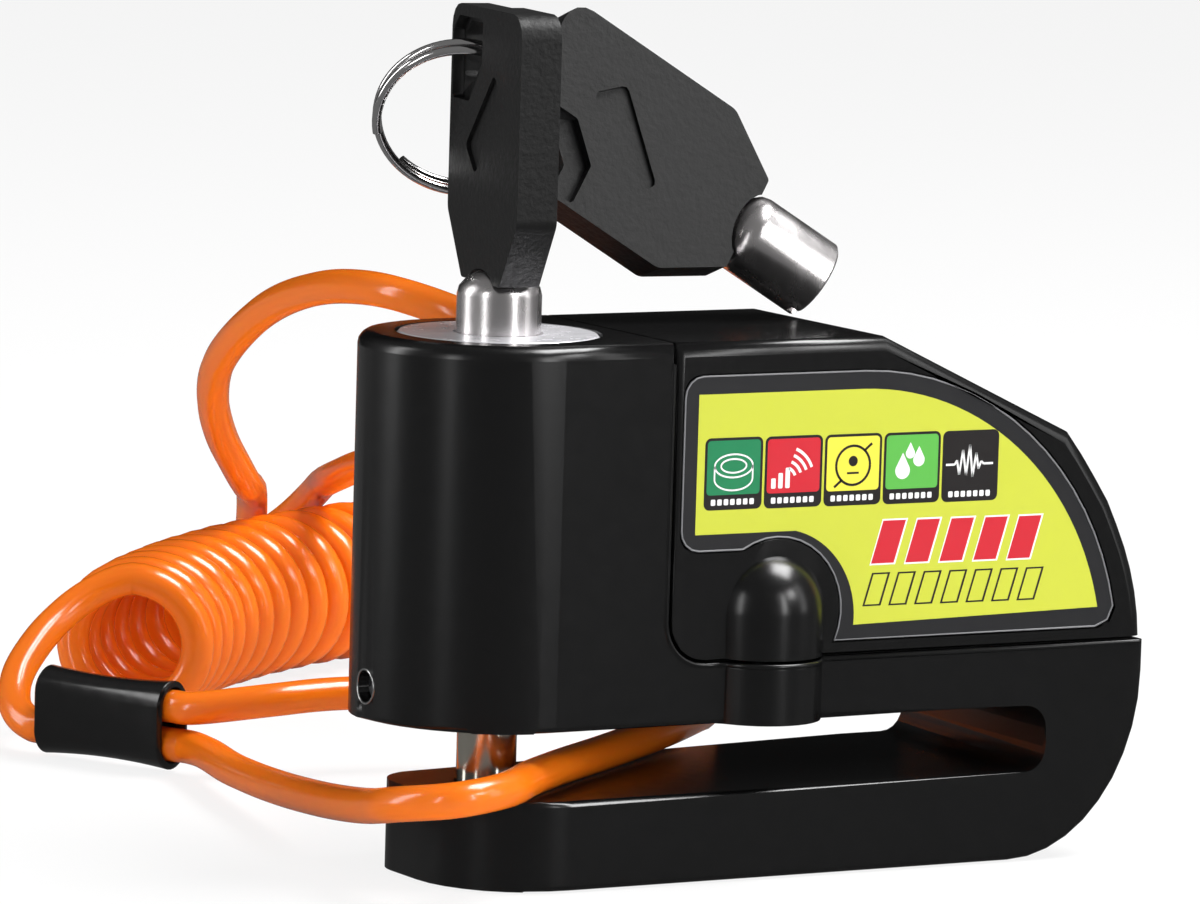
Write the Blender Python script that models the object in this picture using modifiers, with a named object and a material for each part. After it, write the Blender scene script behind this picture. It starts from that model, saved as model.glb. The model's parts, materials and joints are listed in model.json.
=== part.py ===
# Alarm disc brake lock with its keys, split ring and coiled reminder cable.
# Metres, +Z up. The origin is under the key axis, on the underside of the jaw.
# +X runs along the body to its closed end, -Y is the labelled front.
import math

import bmesh
import bpy
import numpy as np
from mathutils import Matrix, Vector

MM = 0.001

# Fits
GAP = 0.3 * MM  # between neighbouring pieces
SEAM = 0.4 * MM  # visible joint between casting and cover
OVERCUT = 3.0 * MM  # how far a cutter runs past the face it opens

# Casting: tower, jaw and slot
BODY_WIDTH = 32.5 * MM
BODY_HEIGHT = 63.0 * MM
REAR_REACH = 80.1 * MM  # key axis to the closed end
TOWER_REAR = 14.5 * MM  # key axis to the joint with the cover
DECK_HEIGHT = 25.7 * MM  # top of the arm under the cover
DECK_CORNER_RADIUS = 5.0 * MM
JAW_THICKNESS = 10.5 * MM
SLOT_HEIGHT = 8.0 * MM
SLOT_REACH = 66.7 * MM  # key axis to the slot's closed end
SLOT_END_RADIUS = 2.9 * MM
REAR_CURVE_RUN = 18.0 * MM
REAR_CURVE_RISE = 22.0 * MM
NOSE_REACH = 10.5 * MM  # key axis to the jaw's open end
NOSE_FRONT_RADIUS = 13.0 * MM
NOSE_BACK_RADIUS = 6.0 * MM
NOSE_BACK_HALF_WIDTH = 8.6 * MM
NOSE_TAPER_START = 58.0 * MM
EDGE_ROUND = 1.1 * MM
EDGE_SEGMENTS = 2

# Screw boss on the front
BOSS_X = 28.8 * MM
BOSS_RADIUS = 7.4 * MM
BOSS_STANDOUT = 4.0 * MM
BOSS_SHAFT_RISE = 5.5 * MM  # deck to the spring of the dome

# Cover
COVER_WALL = 2.2 * MM
COVER_FLAT_END = 43.0 * MM  # where the top starts to slope
SHOULDER_INSET = 11.1 * MM  # ahead of the closed end
SHOULDER_DROP = 12.0 * MM  # below the top
BACK_PULL_INSET = 0.4 * MM  # control point of the curved rear face
BACK_PULL_RISE = 12.3 * MM  # above the deck
SOUND_SLOT_COUNT = 4
SOUND_SLOT_LENGTH = 12.0 * MM
SOUND_SLOT_HEIGHT = 1.6 * MM
SOUND_SLOT_PITCH = 3.6 * MM
SOUND_SLOT_X = 33.0 * MM
SOUND_SLOT_DROP = 17.0 * MM  # top to the middle of the slots

# Label
LABEL_SIDE_MARGIN = 1.0 * MM
LABEL_TOP_MARGIN = 3.9 * MM
LABEL_BOTTOM_MARGIN = 1.5 * MM
LABEL_STEP_MARGIN = 0.2 * MM  # lower edge left of the boss, above the boss
LABEL_ARC_SHIFT = 3.0 * MM  # arc centre ahead of the end of the flat top
LABEL_REAR_MARGIN = 3.9 * MM
LABEL_BOSS_CLEARANCE = 1.5 * MM
LABEL_CORNER_RADIUS = 2.4 * MM
LABEL_THICKNESS = 0.5 * MM
LABEL_SINK = 0.1 * MM

# Plunger, bolt and core
PLUNGER_DIAMETER = 23.5 * MM
PLUNGER_LENGTH = 22.0 * MM
PLUNGER_LIP = 7.0 * MM
CHAMBER_DIAMETER = 15.0 * MM
BORE_FLOOR_THICKNESS = 7.5 * MM  # over the slot
BOLT_DIAMETER = 7.0 * MM
BOLT_REACH = 6.2 * MM  # into the jaw when locked
BOLT_FLANGE = 2.0 * MM
LIFT = 14.8 * MM
LATCH_WIDTH = 4.0 * MM
LATCH_HEIGHT = 2.4 * MM
LATCH_LENGTH = 10.4 * MM
LATCH_STANDOUT = 1.6 * MM
CORE_BARREL_LENGTH = 4.0 * MM
CORE_POST_DIAMETER = 6.2 * MM
CORE_TAIL_DIAMETER = 4.0 * MM
PIN_COUNT = 7
PIN_DIAMETER = 1.3 * MM
SPRING_WIRE = 1.4 * MM
SPRING_RADIUS = 8.0 * MM
SPRING_PITCH = 2.6 * MM
MAGNET_DIAMETER = 3.0 * MM
MAGNET_LENGTH = 2.2 * MM
MAGNET_DROP = 11.0 * MM  # below the top
SET_SCREW_DIAMETER = 3.0 * MM
SET_SCREW_RISE = 3.9 * MM  # over the slot
SET_SCREW_SINK = 1.3 * MM
SET_SCREW_SOCKET = 1.5 * MM

# Cover screws and gasket
SCREW_DIAMETER = 2.6 * MM
SCREW_HEAD_DIAMETER = 5.4 * MM
SCREW_HEAD_HEIGHT = 2.6 * MM
SCREW_GRIP = 8.0 * MM  # length in the cover's post
SCREW_POST_RADIUS = 3.3 * MM
SCREW_REAR_INSET = 3.55 * MM  # cover's inner side to the screw
SCREW_FRONT_INSET = 2.05 * MM
GASKET_WIDTH = 1.2 * MM
GASKET_THICKNESS = 0.5 * MM
GASKET_INSET = 1.35 * MM

# Alarm unit
TRAY_X = 35.0 * MM
TRAY_LENGTH = 21.0 * MM
TRAY_WALL = 0.8 * MM
TRAY_SIDE_SPACE = 1.05 * MM  # to the cover's inner side
CELL_THICKNESS = 5.4 * MM
CELLS_PER_STACK = 3
CONTACT_THICKNESS = 0.4 * MM
BOARD_X = 20.0 * MM
BOARD_LENGTH = 37.0 * MM
BOARD_SIDE_SPACE = 2.55 * MM  # to the cover's inner side
BOARD_THICKNESS = 1.2 * MM
SIREN_X = 33.0 * MM
SIREN_HEIGHT = 8.0 * MM
SIREN_WALL = 1.0 * MM
SIREN_LEDGE = 1.2 * MM
SIREN_DISC_THICKNESS = 0.5 * MM
SENSOR_X = 50.5 * MM
SENSOR_DIAMETER = 6.0 * MM
SENSOR_HEIGHT = 7.0 * MM
REED_DIAMETER = 2.4 * MM
REED_LENGTH = 12.0 * MM

# Keys
KEY_TUBE_DIAMETER = 9.9 * MM
KEY_TUBE_BORE = 7.2 * MM
KEY_TUBE_LENGTH = 13.0 * MM
KEY_BORE_DEPTH = 8.0 * MM
KEY_INSERTION = 5.6 * MM
KEY_DOME_HEIGHT = 3.0 * MM
KEY_TANG_WIDTH = 5.0 * MM
KEY_TANG_THICKNESS = 2.0 * MM
KEY_TANG_LENGTH = 8.0 * MM
KEY_TIP_NOTCH = 1.2 * MM
BOW_WIDTH = 23.0 * MM
BOW_LENGTH = 30.0 * MM
BOW_THICKNESS = 4.9 * MM
BOW_LEG = 1.6 * MM  # how far the bow's legs run down beside the tube
BOW_SHOULDER_RUN = 5.2 * MM
BOW_SHOULDER_RISE = 7.6 * MM
BOW_CORNER = 2.8 * MM
BOW_ROUND = 0.7 * MM
BOW_PAD_DEPTH = 0.5 * MM
BOW_PAD_LENGTH = 12.4 * MM
BOW_PAD_WIDTH = 4.6 * MM
BOW_PAD_DROP = 13.4 * MM  # bow top to pad centre
BOW_PAD_SLANT = math.radians(-45.0)
HOLE_WIDTH = 6.4 * MM
HOLE_HEIGHT = 6.5 * MM
HOLE_RIM = 1.2 * MM
HOLE_TOP_RIM = 2.0 * MM
HOLE_CORNER = 1.7 * MM
HOLE_INNER_CORNER = 2.8 * MM
HOLE_SCOOP = 1.3 * MM  # how far each face is sunk round the hole
HOLE_SCOOP_RIM = 2.6 * MM
KEY_YAW = math.radians(-8.4)

# Split ring
RING_RADIUS = 10.0 * MM
RING_WIRE = 1.1 * MM
RING_PITCH = 1.55 * MM
RING_TURNS = 1.9
RING_HEADING = math.radians(-29.7)  # its level direction, from +X
RING_LEAN = math.radians(28.0)  # its foot swings back
RING_ANGLE_KEY = math.radians(76.0)
RING_ANGLE_SPARE = math.radians(-30.0)
SPARE_KEY_HEADING = math.radians(-14.0)  # the way its tip points, from +X
SPARE_KEY_ROLL = math.radians(22.0)  # its front face turned up
RING_START = math.radians(-136.0)

# Reminder cable
CORD_DIAMETER = 4.2 * MM
COIL_RADIUS = 8.5 * MM
COIL_TURNS = 18
COIL_POINTS_PER_TURN = 9
SLEEVE_LENGTH = 19.5 * MM
SLEEVE_WALL = 0.8 * MM
SLEEVE_WAIST = 0.5 * MM
STRAND_SPACING = 4.8 * MM
FLOOR_CLEARANCE = 0.3 * MM

# Worked out from the sizes above
HALF_WIDTH = BODY_WIDTH / 2
SLOT_TOP = JAW_THICKNESS + SLOT_HEIGHT
SLOT_MIDDLE = JAW_THICKNESS + SLOT_HEIGHT / 2
BOSS_Y = -HALF_WIDTH + BOSS_RADIUS - BOSS_STANDOUT
BOSS_SHAFT_TOP = DECK_HEIGHT + BOSS_SHAFT_RISE
BORE_FLOOR = SLOT_TOP + BORE_FLOOR_THICKNESS
SHOULDER_X = REAR_REACH - SHOULDER_INSET
SHOULDER_Z = BODY_HEIGHT - SHOULDER_DROP
BACK_PULL_X = REAR_REACH - BACK_PULL_INSET
BACK_PULL_Z = DECK_HEIGHT + BACK_PULL_RISE
SOUND_SLOT_Z = BODY_HEIGHT - SOUND_SLOT_DROP
MAGNET_Z = BODY_HEIGHT - MAGNET_DROP
SET_SCREW_Z = SLOT_TOP + SET_SCREW_RISE
LABEL_LEFT = TOWER_REAR + SEAM + LABEL_SIDE_MARGIN
LABEL_TOP = BODY_HEIGHT - LABEL_TOP_MARGIN
LABEL_BOTTOM = DECK_HEIGHT + SEAM + LABEL_BOTTOM_MARGIN
LABEL_STEP_Z = BOSS_SHAFT_TOP + BOSS_RADIUS + LABEL_STEP_MARGIN
LABEL_ARC_X = COVER_FLAT_END - LABEL_ARC_SHIFT
LABEL_ARC_RADIUS = REAR_REACH - LABEL_REAR_MARGIN - LABEL_ARC_X
COVER_INSIDE = HALF_WIDTH - COVER_WALL
PLUNGER_RADIUS = PLUNGER_DIAMETER / 2
PLUNGER_BOTTOM = BODY_HEIGHT - PLUNGER_LENGTH
CHAMBER_RADIUS = CHAMBER_DIAMETER / 2
CHAMBER_TOP = BODY_HEIGHT - PLUNGER_LIP
BOLT_RADIUS = BOLT_DIAMETER / 2
FLANGE_BOTTOM = PLUNGER_BOTTOM + GAP
LATCH_BOTTOM = FLANGE_BOTTOM + BOLT_FLANGE + 2 * GAP
BARREL_BOTTOM = LATCH_BOTTOM + LATCH_HEIGHT + 2 * GAP
ROTOR_BOTTOM = BARREL_BOTTOM + CORE_BARREL_LENGTH + GAP
ROTOR_TOP = CHAMBER_TOP - GAP
CORE_RADIUS = CHAMBER_RADIUS - GAP
KEY_TIP_Z = BODY_HEIGHT - KEY_INSERTION
KEY_BORE_RADIUS = KEY_TUBE_BORE / 2
KEY_RADIUS = KEY_TUBE_DIAMETER / 2
MOUTH_RADIUS = KEY_RADIUS + GAP
PIN_CIRCLE = (KEY_RADIUS + KEY_BORE_RADIUS) / 2
BOW_TOP = KEY_TUBE_LENGTH + BOW_LENGTH
HOLE_Y = BOW_WIDTH / 2 - HOLE_RIM - HOLE_WIDTH / 2
HOLE_Z = BOW_TOP - HOLE_TOP_RIM - HOLE_HEIGHT / 2
TRAY_BOTTOM = DECK_HEIGHT + 2 * GAP
TRAY_HALF_WIDTH = COVER_INSIDE - TRAY_SIDE_SPACE
CELL_DIAMETER = TRAY_HALF_WIDTH - TRAY_WALL - 2 * GAP
CELL_Y = CELL_DIAMETER / 2 + GAP
CELL_Z = TRAY_BOTTOM + TRAY_WALL + GAP + CELL_DIAMETER / 2
SCREW_REAR_X = TRAY_X + TRAY_LENGTH + GAP + SCREW_POST_RADIUS
SCREW_REAR_Y = COVER_INSIDE - SCREW_REAR_INSET
SCREW_FRONT_Y = COVER_INSIDE - SCREW_FRONT_INSET
BOARD_WIDTH = 2 * (COVER_INSIDE - BOARD_SIDE_SPACE)
SIREN_DIAMETER = BOARD_WIDTH
BOARD_BOTTOM = CELL_Z + CELL_DIAMETER / 2 + 2 * GAP
BOARD_TOP = BOARD_BOTTOM + BOARD_THICKNESS
CORD_RADIUS = CORD_DIAMETER / 2
STRAND_LOW = SLEEVE_WALL + GAP + CORD_RADIUS + FLOOR_CLEARANCE
STRAND_HIGH = STRAND_LOW + STRAND_SPACING
COIL_AXIS_Z = COIL_RADIUS + CORD_RADIUS + FLOOR_CLEARANCE

# Routes of the free cable, points chosen by hand in millimetres
COIL_AXIS_ROUTE = [(6.5, 106.5), (40, 150), (92, 160)]
SLEEVE_FRONT_PLACE = (-8.0, 82.4, -63.0)  # middle X, Y and heading in degrees
SLEEVE_REAR_PLACE = (79.0, 186.0, 180.0)
COIL_LEAD_IN = [
    (-14.4, 97.6, 5.2),
    (-12.6, 101.6, 8.3),
    (-8.9, 104.4, 11.5),
    (-4.4, 106.6, 14.3),
    (0.8, 107.5, 17.3),
]
COIL_LEAD_OUT = [
    (93.2, 165.2, 2.4),
    (96.8, 168.9, 2.5),
    (100.4, 172.8, 2.6),
    (101.6, 177.9, 2.8),
    (99.3, 183.4, 3.2),
]
FRONT_LOOP_ROUTE = [
    (-3.4, 64.8, 3.8),
    (-6.2, 53.0, 4.0),
    (-8.8, 40.5, 4.6),
    (-10.8, 30.5, 5.3),
    (-12.9, 21.0, 6.2),
    (-15.6, 8.0, 7.6),
    (-18.0, -5.4, 9.4),
    (-19.2, -14.8, 11.2),
    (-15.6, -21.4, 12.5),
    (-8.6, -20.0, 13.0),
    (-1.4, -13.2, 13.0),
    (7.0, -6.4, 13.0),
    (16.0, 0.2, 13.0),
    (30.0, 10.8, 13.2),
    (39.5, 19.5, 13.2),
    (46.0, 30.0, 11.5),
    (48.0, 42.0, 9.8),
    (44.5, 53.5, 9.2),
    (35.0, 62.0, 9.4),
    (24.0, 66.0, 9.8),
    (14.0, 66.6, 10.0),
    (6.2, 66.8, 9.6),
]
REAR_LOOP_ROUTE = [
    (59.8, 184.0, 4.0),
    (57.0, 178.5, 5.6),
    (55.4, 172.0, 8.6),
    (53.0, 165.0, 13.2),
    (50.0, 158.0, 18.4),
    (46.4, 151.0, 22.8),
    (42.4, 143.6, 25.0),
    (37.6, 135.8, 26.9),
    (31.9, 128.0, 30.7),
    (25.8, 120.0, 35.3),
    (18.8, 109.0, 41.4),
    (13.1, 97.0, 47.5),
    (9.2, 84.0, 53.0),
    (6.6, 70.0, 58.3),
    (4.6, 56.0, 61.8),
    (3.2, 43.0, 63.7),
    (3.6, 31.0, 64.0),
    (8.6, 22.8, 61.8),
    (17.5, 20.4, 57.4),
    (27.0, 24.0, 52.0),
    (34.5, 34.0, 47.0),
    (40.0, 50.0, 42.0),
    (43.6, 74.0, 37.8),
    (46.0, 98.0, 34.6),
    (48.6, 122.0, 30.8),
    (51.6, 136.0, 27.4),
    (54.6, 145.0, 25.4),
    (57.6, 152.0, 24.0),
    (59.8, 159.5, 21.2),
    (60.2, 167.0, 17.2),
    (58.8, 174.5, 12.9),
    (59.2, 181.4, 9.8),
]


def clear_scene():
    for obj in list(bpy.data.objects):
        bpy.data.objects.remove(obj, do_unlink=True)


def new_collection(name):
    collection = bpy.data.collections.new(name)
    bpy.context.scene.collection.children.link(collection)
    return collection


clear_scene()
PARTS = new_collection("disc_brake_lock")
CUTTERS = new_collection("cutters")
MATERIALS = {}


def material(name, colour, roughness, metallic):
    mat = bpy.data.materials.new(name)
    mat.use_nodes = True
    shader = mat.node_tree.nodes["Principled BSDF"]
    shader.inputs["Base Color"].default_value = (*colour, 1.0)
    shader.inputs["Roughness"].default_value = roughness
    shader.inputs["Metallic"].default_value = metallic
    mat.diffuse_color = (*colour, 1.0)
    MATERIALS[name] = mat


def make_materials():
    material("black_paint", (0.012, 0.012, 0.013), 0.32, 0.0)
    material("black_plastic", (0.018, 0.018, 0.02), 0.5, 0.0)
    material("polished_steel", (0.72, 0.72, 0.74), 0.14, 1.0)
    material("steel", (0.5, 0.5, 0.52), 0.3, 1.0)
    material("brass", (0.72, 0.5, 0.18), 0.3, 1.0)
    material("label_yellow", (0.69, 0.73, 0.07), 0.4, 0.0)
    material("gasket_rubber", (0.03, 0.03, 0.03), 0.8, 0.0)
    material("board_green", (0.03, 0.2, 0.07), 0.5, 0.0)
    material("cable_orange", (0.87, 0.19, 0.015), 0.25, 0.0)


def dress(obj, mat, collection=None):
    home = collection or PARTS
    for other in list(obj.users_collection):
        other.objects.unlink(obj)
    home.objects.link(obj)
    if mat:
        obj.data.materials.clear()
        obj.data.materials.append(MATERIALS[mat])
    if home is CUTTERS:
        obj.hide_render = True
        obj.display_type = "WIRE"
    return obj


def smooth(obj, angle=35):
    obj.data.shade_smooth()
    obj.data.set_sharp_from_angle(angle=math.radians(angle))
    return obj


def mesh_from(obj, name):
    # A plain welded mesh object in the place of a curve or a modified mesh.
    evaluated = obj.evaluated_get(bpy.context.evaluated_depsgraph_get())
    mesh = bpy.data.meshes.new_from_object(evaluated)
    work = bmesh.new()
    work.from_mesh(mesh)
    bmesh.ops.remove_doubles(work, verts=work.verts, dist=1e-7)
    bmesh.ops.recalc_face_normals(work, faces=work.faces)
    work.to_mesh(mesh)
    work.free()
    mesh.transform(obj.matrix_world)
    bpy.data.objects.remove(obj, do_unlink=True)
    return bpy.data.objects.new(name, mesh)


def curve_object(points, cyclic, dimensions):
    curve = bpy.data.curves.new("outline", "CURVE")
    curve.dimensions = dimensions
    spline = curve.splines.new("POLY")
    spline.points.add(len(points) - 1)
    for place, point in zip(spline.points, points, strict=True):
        place.co = (*point, *([0.0] * (3 - len(point))), 1.0)
    spline.use_cyclic_u = cyclic
    obj = bpy.data.objects.new("outline", curve)
    bpy.context.scene.collection.objects.link(obj)
    return obj


def prism(name, points, low, high, along, mat=None, collection=None):
    # A flat outline pushed from low to high. along "Y" reads points as (X, Z), "Z" as (X, Y).
    flat = curve_object(points, True, "2D")
    flat.data.fill_mode = "BOTH"
    flat.data.extrude = (high - low) / 2
    middle = (low + high) / 2
    if along == "Y":
        flat.matrix_world = Matrix.Translation((0, middle, 0)) @ Matrix.Rotation(math.pi / 2, 4, "X")
    elif along == "X":
        turn = Matrix(((0, 0, 1, 0), (1, 0, 0, 0), (0, 1, 0, 0), (0, 0, 0, 1)))
        flat.matrix_world = Matrix.Translation((middle, 0, 0)) @ turn
    else:
        flat.matrix_world = Matrix.Translation((0, 0, middle))
    bpy.context.view_layer.update()
    return dress(mesh_from(flat, name), mat, collection)


def turned(name, profile, mat, collection=None, sides=48):
    # A closed profile of (radius, height), listed down its outer side, turned about Z.
    mesh = bpy.data.meshes.new(name)
    closed = profile[0][0] > 0 or profile[-1][0] > 0
    count = len(profile)
    edges = [(i, i + 1) for i in range(count - 1)]
    if closed:
        edges.append((count - 1, 0))
    mesh.from_pydata([(r, 0.0, z) for r, z in profile], edges, [])
    obj = bpy.data.objects.new(name, mesh)
    bpy.context.scene.collection.objects.link(obj)
    screw = obj.modifiers.new("turn", "SCREW")
    screw.steps = sides
    screw.render_steps = sides
    screw.use_merge_vertices = True
    screw.merge_threshold = 1e-6
    bpy.context.view_layer.update()
    return smooth(dress(mesh_from(obj, name), mat, collection))


def rod(name, radius, start, end, mat=None, collection=None, sides=28):
    # A solid cylinder between two points.
    start = Vector(start)
    end = Vector(end)
    work = bmesh.new()
    length = (end - start).length
    bmesh.ops.create_cone(
        work, cap_ends=True, segments=sides, radius1=radius, radius2=radius, depth=length
    )
    mesh = bpy.data.meshes.new(name)
    work.to_mesh(mesh)
    work.free()
    turn = (end - start).to_track_quat("Z", "Y").to_matrix().to_4x4()
    mesh.transform(Matrix.Translation((start + end) / 2) @ turn)
    obj = bpy.data.objects.new(name, mesh)
    return smooth(dress(obj, mat, collection))


def block(name, low, high, mat=None, collection=None):
    # A box between two corners.
    work = bmesh.new()
    bmesh.ops.create_cube(work, size=1.0)
    low = Vector(low)
    high = Vector(high)
    span = high - low
    bmesh.ops.scale(work, vec=span, verts=work.verts)
    bmesh.ops.translate(work, vec=(low + high) / 2, verts=work.verts)
    mesh = bpy.data.meshes.new(name)
    work.to_mesh(mesh)
    work.free()
    return dress(bpy.data.objects.new(name, mesh), mat, collection)


def wire(name, points, radius, mat, resolution):
    obj = curve_object(points, False, "3D")
    obj.name = name
    obj.data.bevel_depth = radius
    obj.data.bevel_resolution = resolution
    obj.data.use_fill_caps = True
    return dress(obj, mat)


def boolean(obj, tool, operation="DIFFERENCE"):
    step = obj.modifiers.new(operation.lower(), "BOOLEAN")
    step.operation = operation
    step.object = tool
    step.solver = "EXACT"
    return obj


def bevel(obj, width, segments=EDGE_SEGMENTS, angle=40):
    step = obj.modifiers.new("rounded", "BEVEL")
    step.width = width
    step.segments = segments
    step.limit_method = "ANGLE"
    step.angle_limit = math.radians(angle)
    return obj


def arc(centre, radii, start, end, steps):
    # Points along an elliptic arc; angles in degrees.
    angles = np.radians(np.linspace(start, end, steps + 1))
    across, rise = radii
    return [(centre[0] + across * math.cos(a), centre[1] + rise * math.sin(a)) for a in angles]


def bezier2(start, pull, end, steps):
    found = []
    for t in np.linspace(0, 1, steps + 1):
        a, b, c = (1 - t) ** 2, 2 * t * (1 - t), t * t
        found.append(tuple(a * p + b * q + c * r for p, q, r in zip(start, pull, end, strict=True)))
    return found


def round_corners(points, radii, steps=4):
    # A polygon with each corner replaced by an arc of its own radius.
    found = []
    count = len(points)
    for i, radius in enumerate(radii):
        here = Vector(points[i])
        before = (Vector(points[i - 1]) - here).normalized()
        after = (Vector(points[(i + 1) % count]) - here).normalized()
        if radius <= 0:
            found.append(tuple(here))
            continue
        half = before.angle(after) / 2
        reach = radius / math.tan(half)
        centre = here + (before + after).normalized() * (radius / math.sin(half))
        first = here + before * reach - centre
        last = here + after * reach - centre
        turn = first.angle_signed(last)
        for k in range(steps + 1):
            spin = Matrix.Rotation(-turn * k / steps, 2)
            found.append(tuple(centre + spin @ first))
    return found


def smooth_route(points, spacing):
    # Evenly spaced points along a smooth curve; the first and last stretch stay straight.
    steps = 12
    knots = [Vector(p) for p in points]
    ends = [2 * knots[0] - knots[1], *knots, 2 * knots[-1] - knots[-2]]
    dense = []
    for p0, p1, p2, p3 in zip(ends, ends[1:], ends[2:], ends[3:], strict=False):
        t0 = 0.0
        t1 = t0 + math.sqrt((p1 - p0).length)
        t2 = t1 + math.sqrt((p2 - p1).length)
        t3 = t2 + math.sqrt((p3 - p2).length)
        for t in np.linspace(t1, t2, steps, endpoint=False):
            a1 = p0.lerp(p1, (t - t0) / (t1 - t0))
            a2 = p1.lerp(p2, (t - t1) / (t2 - t1))
            a3 = p2.lerp(p3, (t - t2) / (t3 - t2))
            b1 = a1.lerp(a2, (t - t0) / (t2 - t0))
            b2 = a2.lerp(a3, (t - t1) / (t3 - t1))
            dense.append(b1.lerp(b2, (t - t1) / (t2 - t1)))
    inner = even_points([*dense[steps:-steps], knots[-2]], spacing)
    return [tuple(knots[0]), *inner, tuple(knots[-1])]


def even_points(dense, spacing):
    line = np.array([tuple(p) for p in dense])
    run = np.concatenate([[0], np.cumsum(np.linalg.norm(np.diff(line, axis=0), axis=1))])
    count = max(2, round(run[-1] / spacing) + 1)
    marks = np.linspace(0, run[-1], count)
    return [tuple(np.interp(m, run, line[:, k]) for k in range(3)) for m in marks]


def route_length(points):
    line = np.array(points)
    return float(np.linalg.norm(np.diff(line, axis=0), axis=1).sum())


def least_self_gap(points, diameter):
    # Smallest space between stretches of a tube that are over two diameters apart along it.
    line = np.array(even_points(points, diameter / 4))
    skip = int(2 * diameter / (diameter / 4))
    least = math.inf
    for i in range(len(line) - skip):
        away = np.linalg.norm(line[i + skip :] - line[i], axis=1).min()
        least = min(least, float(away))
    return least - diameter


# Casting


def casting_outline():
    far = BODY_WIDTH
    corner = DECK_CORNER_RADIUS
    points = [(-far, BODY_HEIGHT), (TOWER_REAR, BODY_HEIGHT)]
    points += arc((TOWER_REAR + corner, DECK_HEIGHT + corner), (corner, corner), 180, 270, 6)
    points += [(REAR_REACH, DECK_HEIGHT)]
    points += arc(
        (REAR_REACH - REAR_CURVE_RUN, REAR_CURVE_RISE), (REAR_CURVE_RUN, REAR_CURVE_RISE), 0, -90, 10
    )
    points += [(-far, 0), (-far, JAW_THICKNESS)]
    end = SLOT_REACH - SLOT_END_RADIUS
    curve = (SLOT_END_RADIUS, SLOT_END_RADIUS)
    points += arc((end, JAW_THICKNESS + SLOT_END_RADIUS), curve, -90, 0, 5)
    points += arc((end, SLOT_TOP - SLOT_END_RADIUS), curve, 0, 90, 5)
    points += [(-far, SLOT_TOP)]
    return points


def tower_plan():
    reach = REAR_REACH + OVERCUT
    points = arc((0, 0), (HALF_WIDTH, HALF_WIDTH), 90, 270, 24)
    return [*points, (reach, -HALF_WIDTH), (reach, HALF_WIDTH)]


def nose_cut_plan():
    # What is taken off the jaw's open end, seen from above: round in front, tapered behind.
    far = 2 * BODY_WIDTH
    out = HALF_WIDTH + OVERCUT
    front = (-NOSE_REACH, -HALF_WIDTH)
    back = (-NOSE_REACH, NOSE_BACK_HALF_WIDTH)
    taper = (NOSE_TAPER_START, HALF_WIDTH)
    edge = round_corners(
        [(NOSE_TAPER_START, -HALF_WIDTH), front, back, taper],
        [0, NOSE_FRONT_RADIUS, NOSE_BACK_RADIUS, 0],
        8,
    )
    return [(-far, -out), (NOSE_TAPER_START, -out), *edge, (NOSE_TAPER_START, out), (-far, out)]


def boss_solid(name, low, high):
    # A round post with a domed top, from low up to its dome or cut level at high.
    profile = []
    top = BOSS_SHAFT_TOP
    if high > top:
        profile += [(BOSS_RADIUS * math.sin(a), top + BOSS_RADIUS * math.cos(a))
                    for a in np.linspace(0, math.pi / 2, 7)]
    else:
        profile += [(0.0, high), (BOSS_RADIUS, high)]
    profile += [(BOSS_RADIUS, low), (0.0, low)]
    solid = turned(name, profile, None, CUTTERS, 36)
    solid.data.transform(Matrix.Translation((BOSS_X, BOSS_Y, 0)))
    return solid


def screw_places():
    return {
        "cover_screw_front": (BOSS_X, -SCREW_FRONT_Y),
        "cover_screw_rear_left": (SCREW_REAR_X, -SCREW_REAR_Y),
        "cover_screw_rear_right": (SCREW_REAR_X, SCREW_REAR_Y),
    }


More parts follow.
